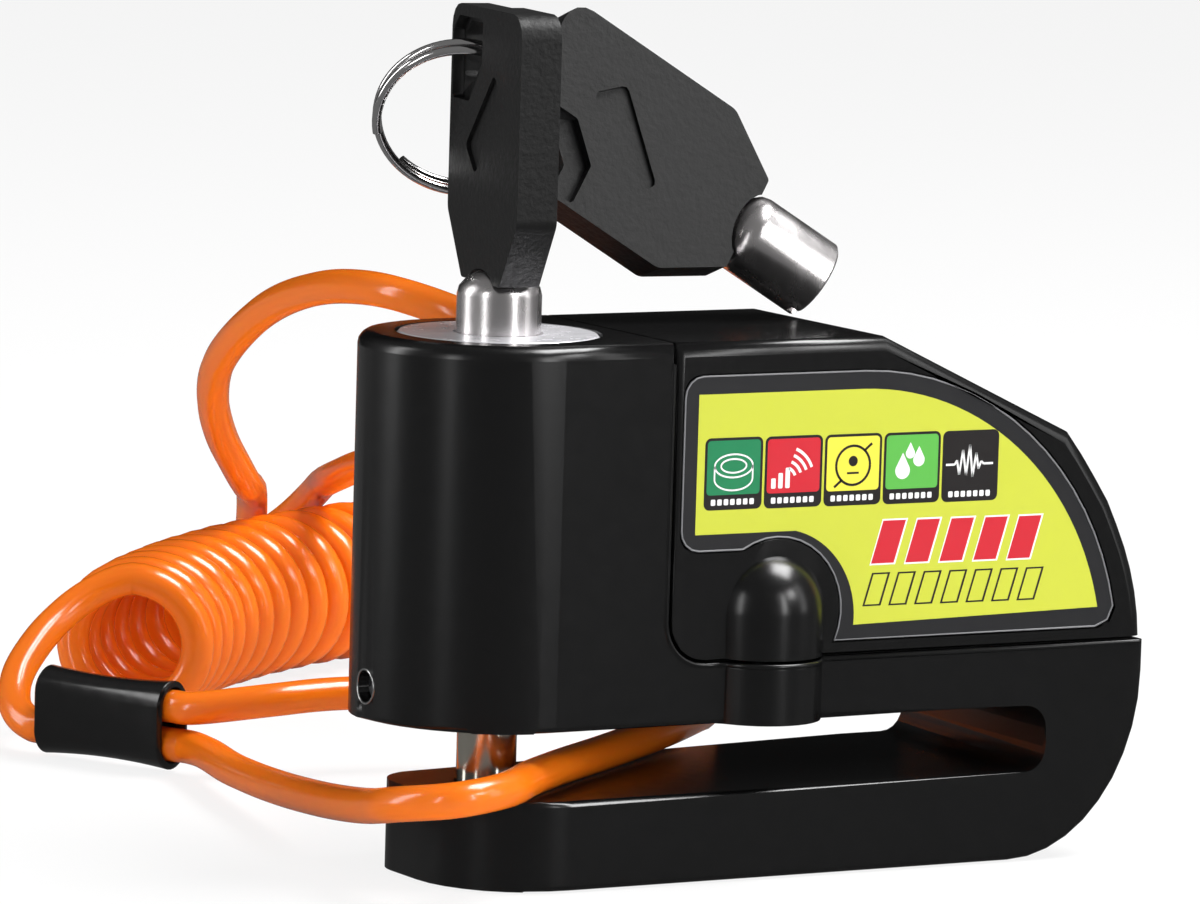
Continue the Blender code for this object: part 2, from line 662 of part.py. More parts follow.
def body_casting():
    body = prism("body_casting", casting_outline(), -HALF_WIDTH, HALF_WIDTH, "Y", "black_paint")
    plan = prism("cut_tower_plan", tower_plan(), -OVERCUT, BODY_HEIGHT + OVERCUT, "Z", None, CUTTERS)
    boolean(body, plan, "INTERSECT")
    nose = prism("cut_nose", nose_cut_plan(), -OVERCUT, SLOT_MIDDLE, "Z", None, CUTTERS)
    boolean(body, nose)
    bevel(body, EDGE_ROUND)
    boolean(body, boss_solid("join_boss_lower", SLOT_TOP, DECK_HEIGHT), "UNION")

    bore = PLUNGER_RADIUS + GAP
    hole = BOLT_RADIUS + GAP
    jaw_hole = JAW_THICKNESS - BOLT_REACH - 2 * GAP
    profile = [(0, BODY_HEIGHT + OVERCUT), (bore, BODY_HEIGHT + OVERCUT), (bore, BORE_FLOOR)]
    profile += [(hole, BORE_FLOOR), (hole, jaw_hole), (0, jaw_hole)]
    boolean(body, turned("cut_plunger_bore", profile, None, CUTTERS))
    half = LATCH_WIDTH / 2 + GAP
    groove_top = LATCH_BOTTOM + LATCH_HEIGHT + LIFT + GAP
    reach = PLUNGER_RADIUS + LATCH_STANDOUT + GAP
    low = (-reach, -half, LATCH_BOTTOM - GAP)
    boolean(body, block("cut_latch_groove", low, (0, half, groove_top), None, CUTTERS))
    screw = SET_SCREW_DIAMETER / 2 + GAP
    outside = -HALF_WIDTH - OVERCUT
    boolean(body, rod("cut_set_screw", screw, (outside, 0, SET_SCREW_Z), (-BOLT_RADIUS, 0, SET_SCREW_Z),
                      None, CUTTERS, 24))
    for name, (x, y) in screw_places().items():
        shank = SCREW_DIAMETER / 2 + GAP
        head = SCREW_HEAD_DIAMETER / 2 + GAP
        seat = SLOT_TOP + SCREW_HEAD_HEIGHT + 2 * GAP
        profile = [(0, DECK_HEIGHT + OVERCUT), (shank, DECK_HEIGHT + OVERCUT), (shank, seat)]
        profile += [(head, seat), (head, SLOT_TOP - OVERCUT), (0, SLOT_TOP - OVERCUT)]
        cutter = turned("cut_" + name, profile, None, CUTTERS, 24)
        cutter.data.transform(Matrix.Translation((x, y, 0)))
        boolean(body, cutter)
    groove = gasket_frame("cut_gasket", GAP, DECK_HEIGHT - GASKET_THICKNESS - GAP, DECK_HEIGHT + OVERCUT)
    boolean(body, dress(groove, None, CUTTERS))
    return body


def set_screw():
    radius = SET_SCREW_DIAMETER / 2
    outer = -HALF_WIDTH + SET_SCREW_SINK
    inner = -BOLT_RADIUS - GAP
    screw = rod("set_screw", radius, (outer, 0, SET_SCREW_Z), (inner, 0, SET_SCREW_Z), "steel", None, 24)
    socket = rod("cut_set_screw_socket", SET_SCREW_SOCKET / 2, (outer - OVERCUT, 0, SET_SCREW_Z),
                 (outer + SET_SCREW_SOCKET, 0, SET_SCREW_Z), None, CUTTERS, 6)
    return boolean(screw, socket)


# Cover, label and gasket


def cover_outline(inset, low):
    # Side view of the cover, drawn in by inset and running down to low.
    left = TOWER_REAR + SEAM + inset
    top = BODY_HEIGHT - inset
    back = REAR_REACH - inset
    slope = math.atan2(BODY_HEIGHT - SHOULDER_Z, SHOULDER_X - COVER_FLAT_END)
    flat_end = COVER_FLAT_END - inset * math.tan(slope / 2)
    shoulder = (SHOULDER_X - inset * 0.86, SHOULDER_Z - inset * 0.86)
    pull = (BACK_PULL_X - inset, BACK_PULL_Z - inset * 0.5)
    points = [(left, top), (flat_end, top)]
    points += bezier2(shoulder, pull, (back, DECK_HEIGHT + SEAM), 9)
    if inset > 0:
        return [*points, (back, low), (left, low)]
    corner = DECK_CORNER_RADIUS - SEAM
    return points + arc((left + corner, low + corner), (corner, corner), 270, 180, 6)


def alarm_cover():
    low = DECK_HEIGHT + SEAM
    cover = prism("alarm_cover", cover_outline(0, low), -HALF_WIDTH, HALF_WIDTH, "Y", "black_plastic")
    bevel(cover, EDGE_ROUND)
    boolean(cover, boss_solid("join_boss_upper", low, BOSS_SHAFT_TOP + BOSS_RADIUS), "UNION")
    inside = COVER_INSIDE
    cavity = cover_outline(COVER_WALL, low - OVERCUT)
    boolean(cover, prism("cut_cavity", cavity, -inside, inside, "Y", None, CUTTERS))
    pilot = SCREW_DIAMETER / 2 + GAP
    for name, (x, y) in screw_places().items():
        tip = DECK_HEIGHT + SCREW_GRIP + 2 * GAP
        post = rod("join_post_" + name, SCREW_POST_RADIUS, (x, y, low), (x, y, tip + COVER_WALL),
                   None, CUTTERS, 24)
        side = math.copysign(HALF_WIDTH - COVER_WALL / 2, y)
        web = block("join_web_" + name, (x - COVER_WALL / 2, min(y, side), low),
                    (x + COVER_WALL / 2, max(y, side), tip + COVER_WALL), None, CUTTERS)
        boolean(cover, post, "UNION")
        boolean(cover, web, "UNION")
        drill = rod("cut_pilot_" + name, pilot, (x, y, low - OVERCUT), (x, y, tip), None, CUTTERS, 20)
        boolean(cover, drill)
    front = -HALF_WIDTH
    depth = LABEL_THICKNESS + LABEL_SINK + GAP
    recess = prism("cut_label", label_outline(GAP), front - OVERCUT, front + depth, "Y", None, CUTTERS)
    boolean(cover, recess)
    for k in range(SOUND_SLOT_COUNT):
        z = SOUND_SLOT_Z + (k - (SOUND_SLOT_COUNT - 1) / 2) * SOUND_SLOT_PITCH
        half = SOUND_SLOT_LENGTH / 2
        slot = block(f"cut_sound_slot_{k + 1}", (SOUND_SLOT_X - half, 0, z - SOUND_SLOT_HEIGHT / 2),
                     (SOUND_SLOT_X + half, HALF_WIDTH + OVERCUT, z + SOUND_SLOT_HEIGHT / 2), None, CUTTERS)
        boolean(cover, slot)
    return cover


def label_outline(grow):
    # Round-cornered field with a curved upper right side and a bite that clears the boss.
    radius = LABEL_ARC_RADIUS + grow
    bite = BOSS_RADIUS + LABEL_BOSS_CLEARANCE - grow
    left = LABEL_LEFT - grow
    bottom = LABEL_BOTTOM - grow
    step = LABEL_STEP_Z - grow
    centre = (LABEL_ARC_X, LABEL_TOP - LABEL_ARC_RADIUS)
    low_angle = math.degrees(math.asin((bottom + LABEL_CORNER_RADIUS - centre[1]) / radius))
    sweep = arc(centre, (radius, radius), 90, low_angle, 16)
    boss = (BOSS_X, BOSS_SHAFT_TOP)
    start = math.degrees(math.asin((step - boss[1]) / bite))
    stop = math.degrees(math.asin((bottom - boss[1]) / bite))
    around = arc(boss, (bite, bite), 180 - start, stop, 14)
    corner_x = sweep[-1][0] - LABEL_CORNER_RADIUS
    low_right = [(sweep[-1][0] - 0.3 * LABEL_CORNER_RADIUS, bottom + 0.3 * LABEL_CORNER_RADIUS)]
    points = [(left, step + LABEL_CORNER_RADIUS)]
    points += arc((left + LABEL_CORNER_RADIUS, LABEL_TOP + grow - LABEL_CORNER_RADIUS),
                  (LABEL_CORNER_RADIUS, LABEL_CORNER_RADIUS), 180, 90, 4)
    points += sweep + low_right + [(corner_x, bottom)]
    points += around[::-1]
    points += arc((left + LABEL_CORNER_RADIUS, step + LABEL_CORNER_RADIUS),
                  (LABEL_CORNER_RADIUS, LABEL_CORNER_RADIUS), 270, 200, 3)
    return points


def front_label():
    face = -HALF_WIDTH + LABEL_SINK
    return prism("front_label", label_outline(0), face, face + LABEL_THICKNESS, "Y", "label_yellow")


def gasket_frame(name, grow, low, high, mat=None):
    outer = HALF_WIDTH - GASKET_INSET + grow
    inner = HALF_WIDTH - GASKET_INSET - GASKET_WIDTH - grow
    left = TOWER_REAR + DECK_CORNER_RADIUS + GASKET_INSET - grow
    right = REAR_REACH - GASKET_INSET + grow
    trim = GASKET_WIDTH + 2 * grow
    frame = block(name, (left, -outer, low), (right, outer, high), mat)
    window = block("cut_window_" + name, (left + trim, -inner, low - OVERCUT),
                   (right - trim, inner, high + OVERCUT), None, CUTTERS)
    boolean(frame, window)
    return frame


def cover_gasket():
    low = DECK_HEIGHT - GASKET_THICKNESS
    return gasket_frame("cover_gasket", 0.0, low, low + GASKET_THICKNESS, "gasket_rubber")


def cover_screws():
    for name, (x, y) in screw_places().items():
        head_low = SLOT_TOP + GAP
        head_high = head_low + SCREW_HEAD_HEIGHT
        shank = SCREW_DIAMETER / 2
        head = SCREW_HEAD_DIAMETER / 2
        tip = DECK_HEIGHT + SCREW_GRIP
        profile = [(0, tip), (shank, tip), (shank, head_high)]
        profile += [(head, head_high), (head, head_low), (0, head_low)]
        screw = turned(name, profile, "steel", None, 24)
        screw.data.transform(Matrix.Translation((x, y, 0)))
        socket = rod("cut_socket_" + name, shank, (x, y, head_low - OVERCUT),
                     (x, y, head_low + SCREW_HEAD_HEIGHT / 2), None, CUTTERS, 6)
        boolean(screw, socket)


# Plunger, bolt, latch and core


def plunger():
    outer = PLUNGER_RADIUS
    profile = [(MOUTH_RADIUS, BODY_HEIGHT), (outer - GAP, BODY_HEIGHT), (outer, BODY_HEIGHT - GAP)]
    profile += [(outer, PLUNGER_BOTTOM), (CHAMBER_RADIUS, PLUNGER_BOTTOM)]
    profile += [(CHAMBER_RADIUS, CHAMBER_TOP), (MOUTH_RADIUS, CHAMBER_TOP)]
    barrel = turned("plunger", profile, "polished_steel")
    half = LATCH_WIDTH / 2 + GAP
    low = (-outer - OVERCUT, -half, LATCH_BOTTOM - GAP)
    high = (-CHAMBER_RADIUS + GAP, half, LATCH_BOTTOM + LATCH_HEIGHT + GAP)
    boolean(barrel, block("cut_latch_window", low, high, None, CUTTERS))
    pocket = outer - MAGNET_LENGTH - 2 * GAP
    boolean(barrel, rod("cut_magnet_pocket", MAGNET_DIAMETER / 2 + GAP, (pocket, 0, MAGNET_Z),
                        (outer + OVERCUT, 0, MAGNET_Z), None, CUTTERS, 20))
    return barrel


def magnet():
    end = PLUNGER_RADIUS - GAP
    return rod("arming_magnet", MAGNET_DIAMETER / 2, (end - MAGNET_LENGTH, 0, MAGNET_Z), (end, 0, MAGNET_Z),
               "steel", None, 20)


def locking_bolt():
    tip = JAW_THICKNESS - BOLT_REACH
    top = FLANGE_BOTTOM + BOLT_FLANGE
    chamfer = 3 * GAP
    profile = [(0, top), (CORE_RADIUS, top), (CORE_RADIUS, FLANGE_BOTTOM), (BOLT_RADIUS, FLANGE_BOTTOM)]
    profile += [(BOLT_RADIUS, tip + chamfer), (BOLT_RADIUS - chamfer, tip), (0, tip)]
    return turned("locking_bolt", profile, "polished_steel")


def latch():
    end = PLUNGER_RADIUS + LATCH_STANDOUT
    low = (-end, -LATCH_WIDTH / 2, LATCH_BOTTOM)
    high = (LATCH_LENGTH - end, LATCH_WIDTH / 2, LATCH_BOTTOM + LATCH_HEIGHT)
    return bevel(block("latch", low, high, "steel"), GAP, 1)


def return_spring():
    low = BORE_FLOOR + GAP + SPRING_WIRE / 2
    high = PLUNGER_BOTTOM - GAP - SPRING_WIRE / 2
    turns = max(2, int((high - low) / SPRING_PITCH))
    count = turns * 10
    points = []
    for k in range(count + 1):
        angle = 2 * math.pi * turns * k / count
        height = low + (high - low) * k / count
        points.append((SPRING_RADIUS * math.cos(angle), SPRING_RADIUS * math.sin(angle), height))
    print(f"return spring least self gap {least_self_gap(points, SPRING_WIRE) / MM:.2f} mm")
    return wire("return_spring", points, SPRING_WIRE / 2, "steel", 1)


def pin_places():
    angles = [2 * math.pi * k / PIN_COUNT for k in range(PIN_COUNT)]
    return [(PIN_CIRCLE * math.cos(a), PIN_CIRCLE * math.sin(a)) for a in angles]


def drill_pins(obj, low, high):
    for k, (x, y) in enumerate(pin_places()):
        hole = rod(f"cut_pin_{obj.name}_{k + 1}", PIN_DIAMETER / 2 + GAP, (x, y, low - OVERCUT / 3),
                   (x, y, high + OVERCUT), None, CUTTERS, 10)
        boolean(obj, hole)


def core_barrel():
    top = BARREL_BOTTOM + CORE_BARREL_LENGTH
    tail = CORE_TAIL_DIAMETER / 2 + GAP
    profile = [(tail, top), (CORE_RADIUS, top), (CORE_RADIUS, BARREL_BOTTOM), (tail, BARREL_BOTTOM)]
    barrel = turned("core_barrel", profile, "brass")
    drill_pins(barrel, BARREL_BOTTOM, top)
    return barrel


def core_rotor():
    post = CORE_POST_DIAMETER / 2
    tail = CORE_TAIL_DIAMETER / 2
    tail_end = BARREL_BOTTOM
    post_top = BODY_HEIGHT - GAP
    profile = [(0, post_top), (post, post_top), (post, ROTOR_TOP), (CORE_RADIUS, ROTOR_TOP)]
    profile += [(CORE_RADIUS, ROTOR_BOTTOM), (tail, ROTOR_BOTTOM), (tail, tail_end), (0, tail_end)]
    rotor = turned("core_rotor", profile, "polished_steel")
    drill_pins(rotor, ROTOR_BOTTOM, ROTOR_TOP)
    return rotor


def tumbler_pins():
    for k, (x, y) in enumerate(pin_places()):
        low = (x, y, ROTOR_BOTTOM + GAP)
        high = (x, y, KEY_TIP_Z - GAP)
        rod(f"tumbler_pin_{k + 1}", PIN_DIAMETER / 2, low, high, "brass", None, 10)


# Alarm unit


def battery_tray():
    low = TRAY_BOTTOM
    high = BOARD_BOTTOM - GAP
    outer = TRAY_HALF_WIDTH
    inner = outer - TRAY_WALL
    floor = low + TRAY_WALL
    section = [(-outer, low), (outer, low), (outer, high), (inner, high), (inner, floor)]
    section += [(-inner, floor), (-inner, high), (-outer, high)]
    return prism("battery_tray", section, TRAY_X, TRAY_X + TRAY_LENGTH, "X", "black_plastic")


def cell_start():
    stack = CELLS_PER_STACK * CELL_THICKNESS + (CELLS_PER_STACK - 1) * GAP
    return TRAY_X + (TRAY_LENGTH - stack) / 2


def button_cells():
    pitch = CELL_THICKNESS + GAP
    number = 0
    for y in (-CELL_Y, CELL_Y):
        for k in range(CELLS_PER_STACK):
            number += 1
            x = cell_start() + k * pitch
            ends = ((x, y, CELL_Z), (x + CELL_THICKNESS, y, CELL_Z))
            cell = rod(f"button_cell_{number}", CELL_DIAMETER / 2, *ends, "polished_steel", None, 24)
            bevel(cell, GAP, 1)


def battery_contacts():
    stack_end = 2 * TRAY_X + TRAY_LENGTH - cell_start()
    half = CELL_Y + CELL_DIAMETER / 4
    tall = CELL_DIAMETER / 4
    spots = {
        "battery_contact_front": cell_start() - GAP - CONTACT_THICKNESS,
        "battery_contact_rear": stack_end + GAP,
    }
    for name, x in spots.items():
        low = (x, -half, CELL_Z - tall)
        high = (x + CONTACT_THICKNESS, half, CELL_Z + tall)
        plate = block(name, low, high, "brass")
        bevel(plate, CONTACT_THICKNESS / 4, 1)


def circuit_board():
    low = (BOARD_X, -BOARD_WIDTH / 2, BOARD_BOTTOM)
    high = (BOARD_X + BOARD_LENGTH, BOARD_WIDTH / 2, BOARD_TOP)
    board = block("circuit_board", low, high, "board_green")
    place = rod("cut_board_post", SCREW_POST_RADIUS + GAP, (BOSS_X, -SCREW_FRONT_Y, BOARD_BOTTOM - OVERCUT),
                (BOSS_X, -SCREW_FRONT_Y, BOARD_TOP + OVERCUT), None, CUTTERS, 24)
    return boolean(board, place)


def siren():
    low = BOARD_TOP + GAP
    high = low + SIREN_HEIGHT
    radius = SIREN_DIAMETER / 2
    seat = high - 2 * SIREN_LEDGE
    inner = radius - SIREN_WALL
    profile = [(inner, high), (radius, high), (radius, low), (0, low), (0, low + SIREN_WALL)]
    profile += [(inner - SIREN_LEDGE, low + SIREN_WALL), (inner - SIREN_LEDGE, seat), (inner, seat)]
    start = profile.index((0, low + SIREN_WALL))
    profile = profile[start:] + profile[:start]
    cup = turned("siren_housing", profile, "black_plastic", None, 32)
    cup.data.transform(Matrix.Translation((SIREN_X, 0, 0)))
    disc = (SIREN_X, 0, seat + GAP)
    rod("siren_disc", inner - GAP, disc, (SIREN_X, 0, seat + GAP + SIREN_DISC_THICKNESS), "brass", None, 32)


def sensor_and_reed():
    low = BOARD_TOP + GAP
    ends = ((SENSOR_X, 0, low), (SENSOR_X, 0, low + SENSOR_HEIGHT))
    can = rod("vibration_sensor", SENSOR_DIAMETER / 2, *ends, "polished_steel", None, 24)
    bevel(can, GAP, 1)
    x = BOARD_X + REED_DIAMETER
    z = BOARD_BOTTOM - GAP - REED_DIAMETER / 2
    ends = ((x, -REED_LENGTH / 2, z), (x, REED_LENGTH / 2, z))
    rod("reed_switch", REED_DIAMETER / 2, *ends, "steel", None, 16)


# Keys. A key is drawn standing on its tip at the origin, its bow's width along Y.


def key_tube_profile():
    dome = [(KEY_RADIUS * math.cos(a), KEY_TUBE_LENGTH - KEY_DOME_HEIGHT + KEY_DOME_HEIGHT * math.sin(a))
            for a in np.linspace(math.pi / 2, 0, 6)]
    dome[0] = (0.0, KEY_TUBE_LENGTH)
    edge = KEY_RADIUS - GAP
    bottom = [(KEY_RADIUS, GAP), (edge, 0.0), (KEY_BORE_RADIUS, 0.0)]
    return [*dome, *bottom, (KEY_BORE_RADIUS, KEY_BORE_DEPTH), (0.0, KEY_BORE_DEPTH)]


def key_tube(name, place):
    tube = turned(name, key_tube_profile(), "polished_steel", None, 36)
    reach = KEY_TUBE_LENGTH + KEY_TANG_LENGTH
    low = (-KEY_TANG_THICKNESS / 2, -KEY_TANG_WIDTH / 2, KEY_TUBE_LENGTH - KEY_DOME_HEIGHT)
    high = (KEY_TANG_THICKNESS / 2, KEY_TANG_WIDTH / 2, reach)
    tang = block("join_tang_" + name, low, high, None, CUTTERS)
    half = KEY_TIP_NOTCH / 2
    notch = block("cut_notch_" + name, (-half, 0, -OVERCUT), (half, KEY_RADIUS + OVERCUT, KEY_TIP_NOTCH),
                  None, CUTTERS)
    boolean(tube, tang, "UNION")
    boolean(tube, notch)
    for obj in (tube, tang, notch):
        obj.matrix_world = place
    return tube


def bow_outline():
    half = BOW_WIDTH / 2
    low = KEY_TUBE_LENGTH - BOW_LEG
    neck = half - BOW_SHOULDER_RUN
    shoulder = low + BOW_SHOULDER_RISE
    points = [(-neck, low), (neck, low), (half, shoulder)]
    points += [(half, BOW_TOP), (-half, BOW_TOP), (-half, shoulder)]
    foot = 0.6 * MM
    return round_corners(points, [foot, foot, 2 * MM, BOW_CORNER, BOW_CORNER, 2 * MM], 4)


def hole_outline(grow, rim):
    # The ring's hole in the bow's corner, or the scoop round it: grown inwards, and outwards by rim.
    y0 = HOLE_Y - HOLE_WIDTH / 2 - grow
    y1 = HOLE_Y + HOLE_WIDTH / 2 + rim
    z0 = HOLE_Z - HOLE_HEIGHT / 2 - grow
    z1 = HOLE_Z + HOLE_HEIGHT / 2 + rim
    inner = HOLE_INNER_CORNER + grow / 2
    points = [(y0, z1), (y1 - HOLE_CORNER, z1), (y1, z1 - HOLE_CORNER)]
    points += [(y1, z0), (y0 + inner, z0), (y0, z0 + inner)]
    return round_corners(points, [0.5 * MM] * len(points), 2)


def pad_outline():
    # The grip bar's round-cornered rectangle, slanted across the bow's middle.
    y = BOW_PAD_LENGTH / 2
    z = BOW_PAD_WIDTH / 2
    shape = round_corners([(-y, -z), (y, -z), (y, z), (-y, z)], [BOW_ROUND] * 4, 2)
    turn = Matrix.Rotation(BOW_PAD_SLANT, 2)
    middle = Vector((0, BOW_TOP - BOW_PAD_DROP))
    return [tuple(turn @ Vector(point) + middle) for point in shape]


def key_bow(name, place):
    thick = BOW_THICKNESS / 2
    bow = prism(name, bow_outline(), -thick, thick, "X", "black_plastic")
    bevel(bow, BOW_ROUND, 2, 50)
    tools = []
    far = thick + OVERCUT
    tools.append(prism("cut_hole_" + name, hole_outline(0.0, 0.0), -far, far, "X", None, CUTTERS))
    sunk = thick - HOLE_SCOOP
    shallow = hole_outline(HOLE_SCOOP_RIM, HOLE_RIM / 2)
    open_sided = hole_outline(HOLE_SCOOP_RIM, HOLE_SCOOP_RIM)
    tools.append(prism("cut_scoop_left_" + name, shallow, -far, -sunk, "X", None, CUTTERS))
    tools.append(prism("cut_scoop_right_" + name, open_sided, sunk, far, "X", None, CUTTERS))
    clear = KEY_RADIUS + GAP
    top = KEY_TUBE_LENGTH + GAP
    dome = [(clear * math.cos(a), top - KEY_DOME_HEIGHT + KEY_DOME_HEIGHT * math.sin(a))
            for a in np.linspace(math.pi / 2, 0, 7)]
    dome[0] = (0.0, top)
    socket = turned("cut_socket_" + name, [*dome, (clear, 0.0), (0.0, 0.0)], None, CUTTERS, 36)
    tools.append(socket)
    low = (-KEY_TANG_THICKNESS / 2 - GAP, -KEY_TANG_WIDTH / 2 - GAP, 0)
    high = (KEY_TANG_THICKNESS / 2 + GAP, KEY_TANG_WIDTH / 2 + GAP, KEY_TUBE_LENGTH + KEY_TANG_LENGTH + GAP)
    tools.append(block("cut_tang_" + name, low, high, None, CUTTERS))
    for side in (-1, 1):
        reach = sorted((side * (thick - BOW_PAD_DEPTH), side * far))
        tools.append(prism(f"cut_pad_{name}_{side}", pad_outline(), *reach, "X", None, CUTTERS))
    for tool in tools:
        boolean(bow, tool)
        tool.matrix_world = place
    bow.matrix_world = place
    return bow


def key_place():
    return Matrix.Translation((0, 0, KEY_TIP_Z)) @ Matrix.Rotation(KEY_YAW, 4, "Z")


def ring_frame():
    # Level direction, upward direction and normal of the leaning ring, then its centre.
    level = Vector((math.cos(RING_HEADING), math.sin(RING_HEADING), 0))
    back = Vector((-level.y, level.x, 0))
    rise = Vector((0, 0, 1)) * math.cos(RING_LEAN) - back * math.sin(RING_LEAN)
    normal = level.cross(rise)
    hole = key_place() @ Vector((0, HOLE_Y, HOLE_Z))
    out = level * math.cos(RING_ANGLE_KEY) + rise * math.sin(RING_ANGLE_KEY)
    return level, rise, normal, hole - out * RING_RADIUS - normal * ring_shift(RING_ANGLE_KEY)


def ring_shift(angle):
    # How far the middle of the two windings stands off the ring's own plane at an angle.
    share = (angle - RING_START) / (2 * math.pi)
    return RING_PITCH * (share + 0.5 - RING_TURNS / 2)


def ring_point(angle):
    level, rise, normal, centre = ring_frame()
    out = level * math.cos(angle) + rise * math.sin(angle)
    return centre + out * RING_RADIUS + normal * ring_shift(angle)


def key_ring():
    level, rise, normal, centre = ring_frame()
    count = round(24 * RING_TURNS)
    points = []
    for k in range(count + 1):
        angle = RING_START + 2 * math.pi * RING_TURNS * k / count
        shift = RING_PITCH * (RING_TURNS * k / count - RING_TURNS / 2)
        out = level * math.cos(angle) + rise * math.sin(angle)
        points.append(tuple(centre + out * RING_RADIUS + normal * shift))
    print(f"key ring least self gap {least_self_gap(points, RING_WIRE) / MM:.2f} mm")
    return wire("key_ring", points, RING_WIRE / 2, "polished_steel", 1)


def spare_key_matrix(drop):
    # The spare key held by its hole on the ring, its tip lowered by the angle drop.
    hole = ring_point(RING_ANGLE_SPARE)
    across = Vector((math.cos(SPARE_KEY_HEADING), math.sin(SPARE_KEY_HEADING), 0))
    down = across * math.cos(drop) - Vector((0, 0, 1)) * math.sin(drop)
    axis_z = -down
    axis_x = Vector((0, 0, 1)).cross(down).normalized()
    axis_y = axis_z.cross(axis_x).normalized()
    turn = Matrix((axis_x, axis_y, axis_z)).transposed() @ Matrix.Rotation(SPARE_KEY_ROLL, 3, "Z")
    origin = hole - turn @ Vector((0, HOLE_Y, HOLE_Z))
    return Matrix.Translation(origin) @ turn.to_4x4()


def spare_key_place():
    # The tip comes down until it lies one gap above the cover.
    low, high = math.radians(5), math.radians(70)
    for _ in range(50):
        middle = (low + high) / 2
        place = spare_key_matrix(middle)
        axis = place.to_3x3() @ Vector((0, 0, 1))
        lowest = place.translation.z - KEY_RADIUS * math.sqrt(1 - axis.z ** 2)
        if lowest > BODY_HEIGHT + GAP:
            low = middle
        else:
            high = middle
    return spare_key_matrix(low)


def keys():
    first = key_place()
    key_tube("key_tube", first)
    key_bow("key_bow", first)
    spare = spare_key_place()
    key_tube("spare_key_tube", spare)
    key_bow("spare_key_bow", spare)


# Reminder cable


def sleeve_frame(place):
    x, y, heading = place
    turn = Matrix.Rotation(math.radians(heading), 4, "Z")
    return Matrix.Translation((x * MM, y * MM, 0)) @ turn


def sleeve_end(place, side, z):
    # A point on the sleeve's end face; side +1 is the loop's end.
    return sleeve_frame(place) @ Vector((side * (SLEEVE_LENGTH / 2 + GAP), 0, z))


def sleeve(name, place):
    # An oval crimp round two strands, one above the other, drawn in at its middle.
    rings = []
    half_height = (STRAND_SPACING + CORD_DIAMETER) / 2 + GAP + SLEEVE_WALL
    middle = FLOOR_CLEARANCE + half_height
    half_width = CORD_RADIUS + GAP + SLEEVE_WALL
    straight = half_height - half_width
    work = bmesh.new()
    for t in np.linspace(-1, 1, 5):
        squeeze = SLEEVE_WAIST * (1 - t * t)
        radius = half_width - squeeze
        ring = arc((0, straight), (radius, radius), 0, 180, 8)
        ring += arc((0, -straight), (radius, radius), 180, 360, 8)
        rings.append([work.verts.new((t * SLEEVE_LENGTH / 2, y, middle + z)) for y, z in ring])
    for one, two in zip(rings, rings[1:], strict=False):
        count = len(one)
        for k in range(count):
            work.faces.new((one[k], one[(k + 1) % count], two[(k + 1) % count], two[k]))
    work.faces.new(rings[0])
    work.faces.new(rings[-1])
    bmesh.ops.recalc_face_normals(work, faces=work.faces)
    mesh = bpy.data.meshes.new(name)
    work.to_mesh(mesh)
    work.free()
    mesh.transform(sleeve_frame(place))
    return smooth(dress(bpy.data.objects.new(name, mesh), "black_plastic"))


def straight_lead(place, side, z):
    # Two points that leave a sleeve square to its end.
    start = sleeve_end(place, side, z)
    out = sleeve_frame(place).to_3x3() @ Vector((side, 0, 0))
    return [start, start + out * CORD_RADIUS]


def in_metres(points):
    return [Vector(p) * MM for p in points]


def coil_points():
    axis = [Vector((*p, 0)) for p in bezier2(*[tuple(c * MM for c in q) for q in COIL_AXIS_ROUTE], 400)]
    axis = [Vector(p) for p in even_points(axis, 0.5 * MM)]
    first = 0.5  # the lead joins at the top, half a turn from the foot
    turns = COIL_TURNS - first
    count = round(turns * COIL_POINTS_PER_TURN)
    points = []
    for k in range(count + 1):
        at = k / count * (len(axis) - 1)
        i = min(int(at), len(axis) - 2)
        here = axis[i].lerp(axis[i + 1], at - i)
        ahead = (axis[i + 1] - axis[i]).normalized()
        left = Vector((-ahead.y, ahead.x, 0))
        angle = 2 * math.pi * (first + turns * k / count)
        out = left * math.sin(angle) - Vector((0, 0, 1)) * math.cos(angle)
        points.append(here + Vector((0, 0, COIL_AXIS_Z)) + out * COIL_RADIUS)
    return points


